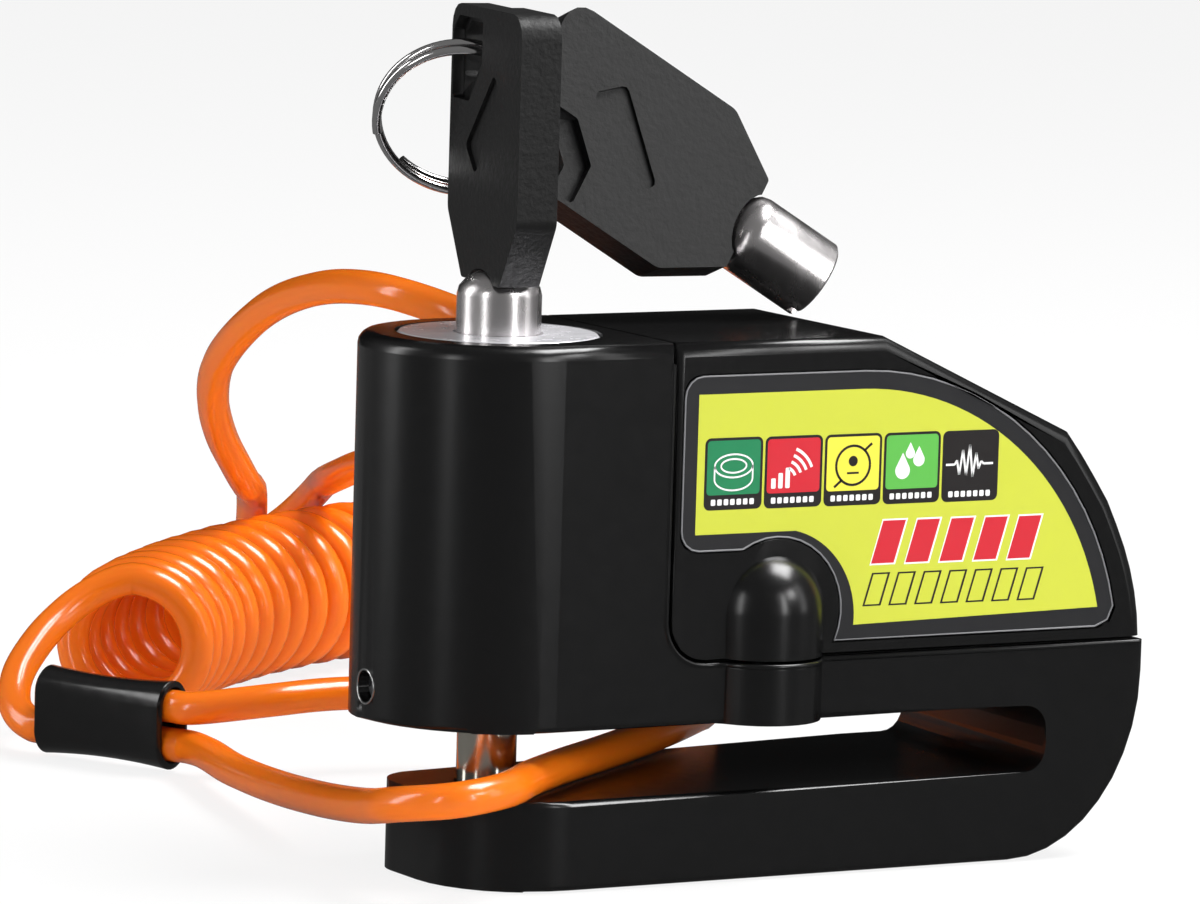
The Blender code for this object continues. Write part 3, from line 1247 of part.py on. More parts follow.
def cable():
    low, high = STRAND_LOW, STRAND_HIGH
    lead_in = straight_lead(SLEEVE_FRONT_PLACE, -1, low) + in_metres(COIL_LEAD_IN)
    coil = coil_points()
    lead_out = in_metres(COIL_LEAD_OUT) + straight_lead(SLEEVE_REAR_PLACE, -1, low)[::-1]
    start = smooth_route([*lead_in, coil[0], coil[1]], CORD_DIAMETER * 1.3)
    finish = smooth_route([coil[-2], coil[-1], *lead_out], CORD_DIAMETER * 1.3)
    whole = [*start[:-2], *[tuple(p) for p in coil], *finish[2:]]
    front = [*straight_lead(SLEEVE_FRONT_PLACE, 1, low), *in_metres(FRONT_LOOP_ROUTE)]
    front += straight_lead(SLEEVE_FRONT_PLACE, 1, high)[::-1]
    rear = [*straight_lead(SLEEVE_REAR_PLACE, 1, low), *in_metres(REAR_LOOP_ROUTE)]
    rear += straight_lead(SLEEVE_REAR_PLACE, 1, high)[::-1]
    front = smooth_route(front, 2.2 * CORD_DIAMETER)
    rear = smooth_route(rear, 2.2 * CORD_DIAMETER)
    for name, points in (("front loop", front), ("coil", whole), ("rear loop", rear)):
        gap = least_self_gap(points, CORD_DIAMETER) / MM
        print(f"cable {name}: {route_length(points):.4f} m, least self gap {gap:.2f} mm")
    wire("cable_loop_front", front, CORD_RADIUS, "cable_orange", 2)
    wire("cable_coil", whole, CORD_RADIUS, "cable_orange", 1)
    wire("cable_loop_rear", rear, CORD_RADIUS, "cable_orange", 2)
    sleeve("cable_sleeve_front", SLEEVE_FRONT_PLACE)
    sleeve("cable_sleeve_rear", SLEEVE_REAR_PLACE)


def build():
    make_materials()
    body_casting()
    set_screw()
    alarm_cover()
    front_label()
    cover_gasket()
    cover_screws()
    plunger()
    magnet()
    locking_bolt()
    latch()
    return_spring()
    core_barrel()
    core_rotor()
    tumbler_pins()
    battery_tray()
    button_cells()
    battery_contacts()
    circuit_board()
    siren()
    sensor_and_reed()
    keys()
    key_ring()
    cable()


build()
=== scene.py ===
import json
import math

import bmesh
import bpy
from mathutils import Matrix, Vector

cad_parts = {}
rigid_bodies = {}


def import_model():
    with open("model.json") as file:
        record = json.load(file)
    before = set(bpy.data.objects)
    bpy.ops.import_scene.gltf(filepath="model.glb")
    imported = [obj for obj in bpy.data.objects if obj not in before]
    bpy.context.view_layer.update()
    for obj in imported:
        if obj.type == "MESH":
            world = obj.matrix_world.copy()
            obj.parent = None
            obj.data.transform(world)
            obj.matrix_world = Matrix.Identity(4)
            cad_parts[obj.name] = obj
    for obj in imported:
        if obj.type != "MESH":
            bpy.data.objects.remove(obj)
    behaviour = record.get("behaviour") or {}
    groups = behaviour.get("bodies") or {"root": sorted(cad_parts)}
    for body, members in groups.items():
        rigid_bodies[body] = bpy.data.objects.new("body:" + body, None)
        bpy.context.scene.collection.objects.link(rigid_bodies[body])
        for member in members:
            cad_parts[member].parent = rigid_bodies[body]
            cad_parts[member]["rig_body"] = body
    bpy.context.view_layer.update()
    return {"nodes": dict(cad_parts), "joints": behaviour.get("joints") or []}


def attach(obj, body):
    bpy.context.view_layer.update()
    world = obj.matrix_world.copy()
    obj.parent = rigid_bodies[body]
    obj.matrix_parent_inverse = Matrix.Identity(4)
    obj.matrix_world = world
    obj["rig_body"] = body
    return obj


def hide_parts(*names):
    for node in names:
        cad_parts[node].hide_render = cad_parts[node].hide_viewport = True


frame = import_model()
nodes = frame["nodes"]
mm = 0.001
rootBody = "lock_body"
print("loaded", len(nodes), "nodes")


# Materials


def newMaterial(name):
    made = bpy.data.materials.new(name)
    made.use_nodes = True
    tree = made.node_tree
    return made, tree, tree.nodes["Principled BSDF"]


def objectNoise(tree, scale, detail, stretch):
    coords = tree.nodes.new("ShaderNodeTexCoord")
    mapping = tree.nodes.new("ShaderNodeMapping")
    mapping.inputs["Scale"].default_value = stretch
    noise = tree.nodes.new("ShaderNodeTexNoise")
    noise.inputs["Scale"].default_value = scale
    noise.inputs["Detail"].default_value = detail
    tree.links.new(coords.outputs["Object"], mapping.inputs["Vector"])
    tree.links.new(mapping.outputs["Vector"], noise.inputs["Vector"])
    return noise


def ramp(tree, source, low, high, outLow, outHigh):
    node = tree.nodes.new("ShaderNodeMapRange")
    node.inputs["From Min"].default_value = low
    node.inputs["From Max"].default_value = high
    node.inputs["To Min"].default_value = outLow
    node.inputs["To Max"].default_value = outHigh
    tree.links.new(source, node.inputs["Value"])
    return node.outputs["Result"]


noiseSpan = (0.3, 0.7)  # most of the noise lies between these


def surface(name, values):
    made, tree, shader = newMaterial(name)
    shader.inputs["Base Color"].default_value = (*values["colour"], 1)
    shader.inputs["Metallic"].default_value = values.get("metallic", 0)
    shader.inputs["Specular IOR Level"].default_value = values.get("specular", 0.5)
    stretch = values.get("stretch", (1, 1, 1))
    noise = objectNoise(tree, values.get("grain", 900), values.get("detail", 4), stretch)
    spread = values.get("spread", 0.04)
    rough = values["roughness"]
    level = ramp(tree, noise.outputs["Fac"], *noiseSpan, rough - spread, rough + spread)
    tree.links.new(level, shader.inputs["Roughness"])
    if values.get("bump"):
        bump = tree.nodes.new("ShaderNodeBump")
        bump.inputs["Strength"].default_value = values["bump"]
        bump.inputs["Distance"].default_value = values.get("bumpDepth", 0.05) * mm
        tree.links.new(noise.outputs["Fac"], bump.inputs["Height"])
        tree.links.new(bump.outputs["Normal"], shader.inputs["Normal"])
    return made


looks = {
    "blackPaint": {"colour": (0.003, 0.003, 0.0031), "roughness": 0.25, "grain": 700, "spread": 0.02},
    "coverPlastic": {"colour": (0.003, 0.003, 0.0031), "roughness": 0.24, "grain": 900, "spread": 0.02},
    "keyPlastic": {"colour": (0.007, 0.007, 0.007), "roughness": 0.5, "specular": 0.32, "grain": 1300,
                   "detail": 6, "bump": 0.6, "bumpDepth": 0.17},
    "sleevePlastic": {"colour": (0.006, 0.006, 0.006), "roughness": 0.2, "grain": 400,
                      "spread": 0.05, "bump": 0.1},
    "chrome": {"colour": (0.78, 0.77, 0.77), "roughness": 0.12, "metallic": 1, "grain": 300,
               "stretch": (1, 1, 0.15), "spread": 0.04},
    "tubeSteel": {"colour": (0.8, 0.77, 0.77), "roughness": 0.27, "metallic": 1, "grain": 300,
                  "stretch": (1, 1, 0.15), "spread": 0.05},
    "plungerSteel": {"colour": (0.92, 0.91, 0.95), "roughness": 0.25, "metallic": 0.35, "grain": 500,
                     "spread": 0.04},
    "boltSteel": {"colour": (0.78, 0.74, 0.64), "roughness": 0.14, "metallic": 1, "grain": 400,
                  "stretch": (1, 1, 0.1), "spread": 0.04},
    "plainSteel": {"colour": (0.5, 0.5, 0.52), "roughness": 0.3, "metallic": 1, "grain": 600},
    # painted highlight colour for the ring round the set screw's hole
    "holeHighlightSteel": {"colour": (0.6, 0.6, 0.6), "roughness": 0.25, "metallic": 1, "grain": 500},
    "brass": {"colour": (0.72, 0.5, 0.18), "roughness": 0.3, "metallic": 1, "grain": 500},
    "gasketRubber": {"colour": (0.02, 0.02, 0.02), "roughness": 0.8, "grain": 700, "bump": 0.2},
    "boardGreen": {"colour": (0.03, 0.2, 0.07), "roughness": 0.45, "grain": 800},
    "labelBorder": {"colour": (0.011, 0.011, 0.013), "roughness": 0.42, "grain": 600},
    # painted highlight colour for the line along the label plate's edge
    "labelHighlightGrey": {"colour": (0.2, 0.2, 0.21), "roughness": 0.4, "grain": 600},
    "labelYellow": {"colour": (0.56, 0.6, 0.038), "roughness": 0.4, "grain": 300, "spread": 0.03},
    "tileBlack": {"colour": (0.012, 0.009, 0.009), "roughness": 0.4},
    "tileGreen": {"colour": (0.004, 0.22, 0.08), "roughness": 0.4},
    "tileRed": {"colour": (0.6, 0.006, 0.02), "roughness": 0.4},
    "tileYellow": {"colour": (0.84, 0.74, 0.05), "roughness": 0.4},
    "tileLeaf": {"colour": (0.1, 0.46, 0.06), "roughness": 0.4},
    "tileWhite": {"colour": (0.86, 0.86, 0.86), "roughness": 0.4},
}
palette = {name: surface(name, values) for name, values in looks.items()}


cableCoat = {
    "colour": (0.87, 0.178, 0.006),
    "roughLow": 0.19,
    "roughHigh": 0.26,
    "grain": 300,
    "detail": 3,
    "coat": 0.3,
    "coatRoughness": 0.08,
    "glowThrough": 0.25,
    "glowReach": (0.004, 0.0015, 0.0004),
}


def cableMaterial():
    # Orange tube with a clear coat.
    made, tree, shader = newMaterial("cableOrange")
    noise = objectNoise(tree, cableCoat["grain"], cableCoat["detail"], (1, 1, 1))
    rough = ramp(tree, noise.outputs["Fac"], *noiseSpan, cableCoat["roughLow"], cableCoat["roughHigh"])
    tree.links.new(rough, shader.inputs["Roughness"])
    shader.inputs["Base Color"].default_value = (*cableCoat["colour"], 1)
    shader.inputs["Coat Weight"].default_value = cableCoat["coat"]
    shader.inputs["Coat Roughness"].default_value = cableCoat["coatRoughness"]
    shader.inputs["Subsurface Weight"].default_value = cableCoat["glowThrough"]
    shader.inputs["Subsurface Radius"].default_value = cableCoat["glowReach"]
    return made


palette["cableOrange"] = cableMaterial()
print("materials", len(palette))

nodeLooks = {
    "body_casting": "blackPaint",
    "alarm_cover": "coverPlastic",
    "front_label": "labelBorder",
    "cover_gasket": "gasketRubber",
    "plunger": "plungerSteel",
    "locking_bolt": "boltSteel",
    "core_rotor": "chrome",
    "core_barrel": "brass",
    "key_tube": "tubeSteel",
    "spare_key_tube": "tubeSteel",
    "key_bow": "keyPlastic",
    "spare_key_bow": "keyPlastic",
    "key_ring": "chrome",
    "circuit_board": "boardGreen",
    "battery_tray": "coverPlastic",
    "siren_housing": "coverPlastic",
    "siren_disc": "brass",
    "vibration_sensor": "chrome",
    "battery_contact_front": "brass",
    "battery_contact_rear": "brass",
}


def paintNodes():
    for name, node in nodes.items():
        look = nodeLooks.get(name)
        if look is None and name.startswith("tumbler_pin"):
            look = "brass"
        if look is None and name.startswith("button_cell"):
            look = "chrome"
        if look is None and name.startswith("cable_sleeve"):
            look = "sleevePlastic"
        if look is None and name.startswith("cable"):
            look = "cableOrange"
        node.data.materials.clear()
        node.data.materials.append(palette[look or "plainSteel"])


paintNodes()
print("CAD nodes painted")


# Rigid pieces shown with rounded edges and smooth shading: a finished copy stands for each solid

edges = {
    "body_casting": 1.6,
    "alarm_cover": 1.6,
    "plunger": 0.3,
    "front_label": 0.0,
    "locking_bolt": 0.0,
    "set_screw": 0.0,
    "core_rotor": 0.0,
    "key_tube": 0.15,
    "key_bow": 0.2,
    "spare_key_tube": 0.15,
    "spare_key_bow": 0.2,
}
edgeRules = {
    "turn": math.radians(38),
    "narrowest": 1.3 * mm,
    "sharp": math.radians(25),
    "segments": 4,
    "topZ": 62.6 * mm,
    "deckZ": 25.7 * mm,
    "deckReach": 0.1 * mm,
    "halfWidth": 16.25 * mm,
    "highest": 63.0 * mm,
    "skin": 15.4 * mm,
    "slopeX": 42 * mm,
    "slopeZ": 27 * mm,
    "fine": 0.4,
    "deckEase": 0.35,
    "topEase": 0.7,
    "weld": 0.002 * mm,
    "flat": math.radians(0.5),
    "merge": {"body_casting": 0.05 * mm, "alarm_cover": 0.25 * mm},
}


def breadth(face):
    return face.calc_area() / max(edge.calc_length() for edge in face.edges)


def edgeShare(edge):
    # Full rounding on the top and the sloped back, a finer one on the other front edges, none inside.
    middle = (edge.verts[0].co + edge.verts[1].co) / 2
    across = math.hypot(min(middle.x, 0), middle.y)
    if across < edgeRules["skin"]:
        return 0
    sloped = middle.x > edgeRules["slopeX"] and middle.z > edgeRules["slopeZ"]
    if middle.z > edgeRules["topZ"] or sloped:
        return 1
    return edgeRules["fine"] if middle.y < 0 else 0


def onDeck(edge):
    return all(abs(vert.co.z - edgeRules["deckZ"]) < edgeRules["deckReach"] for vert in edge.verts)


def squareUp(work, reach):
    # Points that lie close to the flat top or sides are put on them, so that these stay flat once merged.
    for vert in work.verts:
        if abs(abs(vert.co.y) - edgeRules["halfWidth"]) < reach:
            vert.co.y = math.copysign(edgeRules["halfWidth"], vert.co.y)
        if abs(vert.co.z - edgeRules["highest"]) < reach:
            vert.co.z = edgeRules["highest"]


def markEdges(work, everywhere):
    # Only convex edges between broad faces are rounded.
    layer = work.edges.layers.float.new("bevel_weight_edge")
    for edge in work.edges:
        if len(edge.link_faces) != 2 or not edge.is_convex:
            continue
        share = 1 if everywhere else edgeShare(edge)
        least = edgeRules["narrowest"]
        if onDeck(edge):
            least *= edgeRules["deckEase"]
        elif share == 1:
            least *= edgeRules["topEase"]
        narrower = min(breadth(face) for face in edge.link_faces)
        if edge.calc_face_angle() > edgeRules["turn"] and narrower > least:
            edge[layer] = share


def wholeFaces(work, reach):
    bmesh.ops.remove_doubles(work, verts=work.verts, dist=reach)
    bmesh.ops.dissolve_limit(work, angle_limit=edgeRules["flat"], verts=work.verts, edges=work.edges)


def finishedCopy(name, width):
    node = nodes[name]
    work = bmesh.new()
    work.from_mesh(node.data)
    merge = edgeRules["merge"].get(name)
    if merge:
        squareUp(work, merge)
    wholeFaces(work, merge or edgeRules["weld"])
    markEdges(work, merge is None)
    mesh = bpy.data.meshes.new(name + "Finished")
    work.to_mesh(mesh)
    work.free()
    mesh.shade_smooth()
    mesh.set_sharp_from_angle(angle=edgeRules["sharp"])
    mesh.materials.append(node.data.materials[0])
    obj = bpy.data.objects.new(name + "Work", mesh)
    bpy.context.scene.collection.objects.link(obj)
    if width:
        rounding = obj.modifiers.new("rounding", "BEVEL")
        rounding.limit_method = "WEIGHT"
        rounding.width = width * mm
        rounding.segments = edgeRules["segments"]
        rounding.use_clamp_overlap = False
    evened = obj.modifiers.new("evened", "WEIGHTED_NORMAL")
    evened.keep_sharp = True
    finished = bpy.data.objects.new(name + "Finished", plainMesh(obj, name + "Finished"))
    bpy.context.scene.collection.objects.link(finished)
    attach(finished, node["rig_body"])
    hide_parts(name)


def plainMesh(obj, name):
    shown = obj.evaluated_get(bpy.context.evaluated_depsgraph_get())
    mesh = bpy.data.meshes.new_from_object(shown)
    mesh.name = name
    mesh.transform(obj.matrix_world)
    bpy.data.objects.remove(obj, do_unlink=True)
    return mesh


for nodeName, edgeWidth in edges.items():
    finishedCopy(nodeName, edgeWidth)
print("finished copies", len(edges))


# Helpers for the added pieces


def linked(name, mesh, look, body=rootBody):
    obj = bpy.data.objects.new(name, mesh)
    bpy.context.scene.collection.objects.link(obj)
    mesh.materials.clear()
    mesh.materials.append(palette[look])
    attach(obj, body)
    return obj


def tubeMesh(name, points, radius, sides, closed=False):
    curve = bpy.data.curves.new(name, "CURVE")
    curve.dimensions = "3D"
    spline = curve.splines.new("POLY")
    spline.points.add(len(points) - 1)
    for place, point in zip(spline.points, points):
        place.co = (*point, 1)
    spline.use_cyclic_u = closed
    curve.bevel_depth = radius
    curve.bevel_resolution = sides
    curve.use_fill_caps = True
    obj = bpy.data.objects.new(name, curve)
    bpy.context.scene.collection.objects.link(obj)
    mesh = plainMesh(obj, name)
    mesh.shade_smooth()
    return mesh


def arc(centre, radius, start, end, steps):
    found = []
    for k in range(steps + 1):
        a = math.radians(start + (end - start) * k / steps)
        found.append((centre[0] + radius * math.cos(a), centre[1] + radius * math.sin(a)))
    return found


def smoothLine(points, steps):
    # The same smooth line through the points as the CAD's, drawn finer; ends stay straight.
    knots = [Vector(p) for p in points]
    ends = [2 * knots[0] - knots[1], *knots, 2 * knots[-1] - knots[-2]]
    line = []
    for p0, p1, p2, p3 in zip(ends, ends[1:], ends[2:], ends[3:]):
        t1 = math.sqrt((p1 - p0).length)
        t2 = t1 + math.sqrt((p2 - p1).length)
        t3 = t2 + math.sqrt((p3 - p2).length)
        for k in range(steps):
            t = t1 + (t2 - t1) * k / steps
            a1 = p0.lerp(p1, t / t1)
            a2 = p1.lerp(p2, (t - t1) / (t2 - t1))
            a3 = p2.lerp(p3, (t - t2) / (t3 - t2))
            b1 = a1.lerp(a2, t / t2)
            b2 = a2.lerp(a3, (t - t1) / (t3 - t1))
            line.append(b1.lerp(b2, (t - t1) / (t2 - t1)))
    line.append(knots[-1])
    return line


def relaxed(line, rounds):
    # Evens out the bends; the first and last points keep their place.
    for _ in range(rounds):
        inner = [(a + 2 * b + c) / 4 for a, b, c in zip(line, line[1:], line[2:])]
        line = [line[0], *inner, line[-1]]
    return line


def lineLength(line):
    return sum((b - a).length for a, b in zip(line, line[1:]))


# Reminder cable

cable = {
    "diameter": 4.2 * mm,
    "coilRadius": 8.5 * mm,
    "coilAxisZ": 10.9 * mm,
    "coilTurns": 18,
    "coilStart": 0.5,
    "coilPoints": 40,
    "axisSteps": 600,
    "lineSteps": 16,
    "loopEasing": 12,
    "leadEasing": 10,
    "coilAxis": [(6.5, 106.5), (40, 150), (92, 160)],
    "strandLow": 3.5 * mm,
    "strandHigh": 8.3 * mm,
    "sleeveLength": 19.5 * mm,
    "sleeveGap": 0.3 * mm,
    "inSleeve": 3.0 * mm,
    "frontSleeve": (-8.0, 82.4, -63.0),
    "rearSleeve": (79.0, 186.0, 180.0),
    "leadIn": [
        (-14.0, 97.3, 5.2), (-12.0, 101.2, 8.3), (-8.4, 104.1, 11.5), (-4.2, 106.5, 14.3), (0.8, 107.5, 17.3),
    ],
    "leadOut": [
        (93.2, 165.2, 2.4), (96.8, 168.9, 2.5), (100.4, 172.8, 2.6), (101.6, 177.9, 2.8), (99.3, 183.4, 3.2),
    ],
    "frontLoop": [
        (-3.4, 64.8, 3.8), (-6.2, 53.0, 4.0), (-8.8, 40.5, 4.6), (-10.8, 30.5, 5.3),
        (-12.9, 21.0, 6.2), (-15.6, 8.0, 7.6), (-18.0, -5.4, 9.4), (-19.2, -14.8, 11.2),
        (-15.6, -21.4, 12.5), (-8.6, -20.0, 13.0), (-1.4, -13.2, 13.0), (7.0, -6.4, 13.0),
        (16.0, 0.2, 13.0), (30.0, 10.8, 13.2), (39.5, 19.5, 13.2), (46.0, 30.0, 11.5),
        (48.0, 42.0, 9.8), (44.5, 53.5, 9.2), (35.0, 62.0, 9.4), (24.0, 66.0, 9.8),
        (14.0, 66.6, 10.0), (6.2, 66.8, 9.6),
    ],
    "rearLoop": [
        (59.8, 184.0, 4.0), (57.0, 178.5, 5.6), (55.4, 172.0, 8.6), (53.0, 165.0, 13.2),
        (50.0, 158.0, 18.4), (46.4, 151.0, 22.8), (42.4, 143.6, 25.0), (37.6, 135.8, 26.9),
        (31.9, 128.0, 30.7), (25.8, 120.0, 35.3), (18.8, 109.0, 41.4), (13.1, 97.0, 47.5),
        (9.2, 84.0, 53.0), (6.6, 70.0, 58.3), (4.6, 56.0, 61.8), (3.2, 43.0, 63.7),
        (3.6, 31.0, 64.0), (8.6, 22.8, 61.8), (17.5, 20.4, 57.4), (27.0, 24.0, 52.0),
        (34.5, 34.0, 47.0), (40.0, 50.0, 42.0), (43.6, 74.0, 37.8), (46.0, 98.0, 34.6),
        (48.6, 122.0, 30.8), (51.6, 136.0, 27.4), (54.6, 145.0, 25.4), (57.6, 152.0, 24.0),
        (59.8, 159.5, 21.2), (60.2, 167.0, 17.2), (58.8, 174.5, 12.9), (59.2, 181.4, 9.8),
    ],
}


def sleeveFrame(place):
    x, y, heading = place
    return Matrix.Translation((x * mm, y * mm, 0)) @ Matrix.Rotation(math.radians(heading), 4, "Z")


def sleeveLead(place, side, z):
    # From inside the sleeve to half a diameter outside it, square to its end.
    at = sleeveFrame(place)
    end = cable["sleeveLength"] / 2 + cable["sleeveGap"]
    inside = at @ Vector((side * (end - cable["inSleeve"]), 0, z))
    mouth = at @ Vector((side * end, 0, z))
    outside = at @ Vector((side * (end + cable["diameter"] / 2), 0, z))
    return inside, mouth, outside


def coilLine():
    a, b, c = [Vector((x * mm, y * mm, 0)) for x, y in cable["coilAxis"]]
    steps = cable["axisSteps"]
    shares = [k / steps for k in range(steps + 1)]
    axis = [a * (1 - t) ** 2 + b * (2 * t * (1 - t)) + c * t * t for t in shares]
    runs = [0]
    for p, q in zip(axis, axis[1:]):
        runs.append(runs[-1] + (q - p).length)
    turns = cable["coilTurns"] - cable["coilStart"]
    count = round(turns * cable["coilPoints"])
    line = []
    place = 0
    for k in range(count + 1):
        want = runs[-1] * k / count
        while place < steps - 1 and runs[place + 1] < want:
            place += 1
        share = (want - runs[place]) / (runs[place + 1] - runs[place])
        here = axis[place].lerp(axis[place + 1], share)
        ahead = (axis[place + 1] - axis[place]).normalized()
        left = Vector((-ahead.y, ahead.x, 0))
        angle = 2 * math.pi * (cable["coilStart"] + turns * k / count)
        out = left * math.sin(angle) - Vector((0, 0, 1)) * math.cos(angle)
        line.append(here + Vector((0, 0, cable["coilAxisZ"])) + out * cable["coilRadius"])
    return line


def inMetres(points):
    return [Vector(p) * mm for p in points]


def loopLine(place, points):
    start, mouth, lead = sleeveLead(place, 1, cable["strandLow"])
    stop, endMouth, endLead = sleeveLead(place, 1, cable["strandHigh"])
    line = smoothLine([mouth, lead, *inMetres(points), endLead, endMouth], cable["lineSteps"])
    return [start, *relaxed(line, cable["loopEasing"]), stop]


def coiledLine():
    start, mouth, lead = sleeveLead(cable["frontSleeve"], -1, cable["strandLow"])
    stop, endMouth, endLead = sleeveLead(cable["rearSleeve"], -1, cable["strandLow"])
    # Each lead is drawn on a little way into the coil, and that stretch is then taken from the coil itself.
    coil = coilLine()
    steps = cable["lineSteps"]
    first = smoothLine([mouth, lead, *inMetres(cable["leadIn"]), coil[0], coil[4]], steps)[:-steps]
    last = smoothLine([coil[-5], coil[-1], *inMetres(cable["leadOut"]), endLead, endMouth], steps)[steps:]
    first = relaxed(first, cable["leadEasing"])
    last = relaxed(last, cable["leadEasing"])
    return [start, *first[:-1], *coil, *last[1:], stop]


def makeCable():
    made = {}
    routes = {
        "cableLoopFront": ("cable_loop_front", loopLine(cable["frontSleeve"], cable["frontLoop"])),
        "cableCoil": ("cable_coil", coiledLine()),
        "cableLoopRear": ("cable_loop_rear", loopLine(cable["rearSleeve"], cable["rearLoop"])),
    }
    for name, (node, line) in routes.items():
        mesh = tubeMesh(name, line, cable["diameter"] / 2, 5)
        obj = linked(name, mesh, "cableOrange")
        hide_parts(node)
        made[name] = (obj, line)
        print(name, round(lineLength(line), 4), "m", len(mesh.polygons), "faces")
    return made


cables = makeCable()


sleeve = {
    "wall": 0.8 * mm,
    "clear": 0.3 * mm,
    "waist": 0.5 * mm,
    "floor": 0.3 * mm,
    "mouthDepth": 2.4 * mm,
    "rounding": 0.35 * mm,
    "lip": 0.3 * mm,
    "lipShare": 0.06,
    "steps": 6,
    "arcSteps": 16,
    "sharp": math.radians(50),
}


def sleeveShell(name, node, place):
    # A crimped oval collar, waisted, with an open mouth round the strands at each end.
    halfLength = cable["sleeveLength"] / 2
    spacing = cable["strandHigh"] - cable["strandLow"]
    halfWidth = cable["diameter"] / 2 + sleeve["clear"] + sleeve["wall"]
    bore = halfWidth - sleeve["wall"]
    lip = halfWidth - sleeve["waist"] * sleeve["lipShare"]
    straight = spacing / 2
    middle = sleeve["floor"] + halfWidth + straight
    stations = [(-halfLength + sleeve["mouthDepth"], bore), (-halfLength, bore)]
    for k in range(2 * sleeve["steps"] + 1):
        t = -1 + k / sleeve["steps"]
        edge = sleeve["rounding"] if abs(t) == 1 else 0
        stations.append((t * halfLength, halfWidth - sleeve["waist"] * (1 - t * t) - edge))
        if k == 0:
            stations.append((-halfLength + sleeve["lip"], lip))
        if k == 2 * sleeve["steps"] - 1:
            stations.append((halfLength - sleeve["lip"], lip))
    stations += [(halfLength, bore), (halfLength - sleeve["mouthDepth"], bore)]
    work = bmesh.new()
    rings = []
    for x, radius in stations:
        oval = arc((0, straight), radius, 0, 180, sleeve["arcSteps"])
        oval += arc((0, -straight), radius, 180, 360, sleeve["arcSteps"])
        rings.append([work.verts.new((x, y, middle + z)) for y, z in oval])
    for one, two in zip(rings, rings[1:]):
        count = len(one)
        for k in range(count):
            work.faces.new((one[k], one[(k + 1) % count], two[(k + 1) % count], two[k]))
    work.faces.new(rings[0])
    work.faces.new(rings[-1])
    bmesh.ops.recalc_face_normals(work, faces=work.faces)
    mesh = bpy.data.meshes.new(name)
    work.to_mesh(mesh)
    work.free()
    mesh.transform(sleeveFrame(place))
    mesh.shade_smooth()
    mesh.set_sharp_from_angle(angle=sleeve["sharp"])
    obj = linked(name, mesh, "sleevePlastic")
    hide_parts(node)
    return obj


frontSleeve = sleeveShell("sleeveFront", "cable_sleeve_front", cable["frontSleeve"])
rearSleeve = sleeveShell("sleeveRear", "cable_sleeve_rear", cable["rearSleeve"])


print("cable done")


# Split ring, drawn finer than the CAD's

ring = {
    "radius": 10.0 * mm,
    "wire": 1.1 * mm,
    "pitch": 1.55 * mm,
    "turns": 1.9,
    "start": math.radians(-136.0),
    "heading": math.radians(-29.7),
    "lean": math.radians(28.0),
    "points": 150,
}


def splitRing():
    joint = [j for j in frame["joints"] if j["name"] == "ring_turn"][0]
    centre = Vector(joint["pos_m"])
    level = Vector((math.cos(ring["heading"]), math.sin(ring["heading"]), 0))
    back = Vector((-level.y, level.x, 0))
    rise = Vector((0, 0, 1)) * math.cos(ring["lean"]) - back * math.sin(ring["lean"])
    normal = level.cross(rise)
    count = ring["points"]
    line = []
    for k in range(count + 1):
        turn = ring["turns"] * k / count
        angle = ring["start"] + 2 * math.pi * turn
        out = level * math.cos(angle) + rise * math.sin(angle)
        line.append(centre + out * ring["radius"] + normal * ring["pitch"] * (turn - ring["turns"] / 2))
    obj = linked("splitRing", tubeMesh("splitRing", line, ring["wire"] / 2, 4), "chrome", "split_ring")
    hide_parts("key_ring")


splitRing()
print("ring done")


# Printed label: flat layers on the front plate

label = {
    "faceY": -16.15 * mm,
    "layer": 0.012 * mm,
    "layerShare": 0.8,
    "left": 17.7,
    "top": 57.0,
    "bottom": 29.3,
    "step": 40.7,
    "arcCentre": (39.8, 22.7),
    "arcRadius": 34.3,
    "bossCentre": (28.7, 30.2),
    "bossRadius": 10.8,
    "rise": 0.6,
    # thickness of the painted highlight line along the plate's edge
    "highlightWire": 0.11 * mm,
    "arcSteps": 28,
    "bossSteps": 20,
}


def layerMesh(outlines, level):
    # Flat printed shapes in the front plane, given in millimetres as (X, Z), one layer thick.
    work = bmesh.new()
    high = label["faceY"] - label["layer"] * level
    low = high + label["layer"] * label["layerShare"]
    for outline in outlines:
        front = [work.verts.new((x * mm, high, z * mm)) for x, z in outline]
        back = [work.verts.new((x * mm, low, z * mm)) for x, z in outline]
        work.faces.new(front)
        work.faces.new(back[::-1])
        count = len(outline)
        for k in range(count):
            work.faces.new((front[k], back[k], back[(k + 1) % count], front[(k + 1) % count]))
    bmesh.ops.recalc_face_normals(work, faces=work.faces)
    bmesh.ops.triangulate(work, faces=[f for f in work.faces if len(f.verts) > 4])
    mesh = bpy.data.meshes.new("layer")
    work.to_mesh(mesh)
    work.free()
    return mesh


def printed(name, outlines, level, look):
    return linked(name, layerMesh(outlines, level), look)


def fieldOutline():
    centre = label["arcCentre"]
    boss = label["bossCentre"]
    right = label["bottom"] + label["rise"]
    stop = math.degrees(math.asin((right - centre[1]) / label["arcRadius"]))
    low = math.degrees(math.asin((label["bottom"] - boss[1]) / label["bossRadius"]))
    high = math.degrees(math.asin((label["step"] - boss[1]) / label["bossRadius"]))
    points = [(label["left"], label["step"]), (label["left"], label["top"])]
    points += arc(centre, label["arcRadius"], 90, stop, label["arcSteps"])
    points += arc(boss, label["bossRadius"], low, high, label["bossSteps"])
    return points


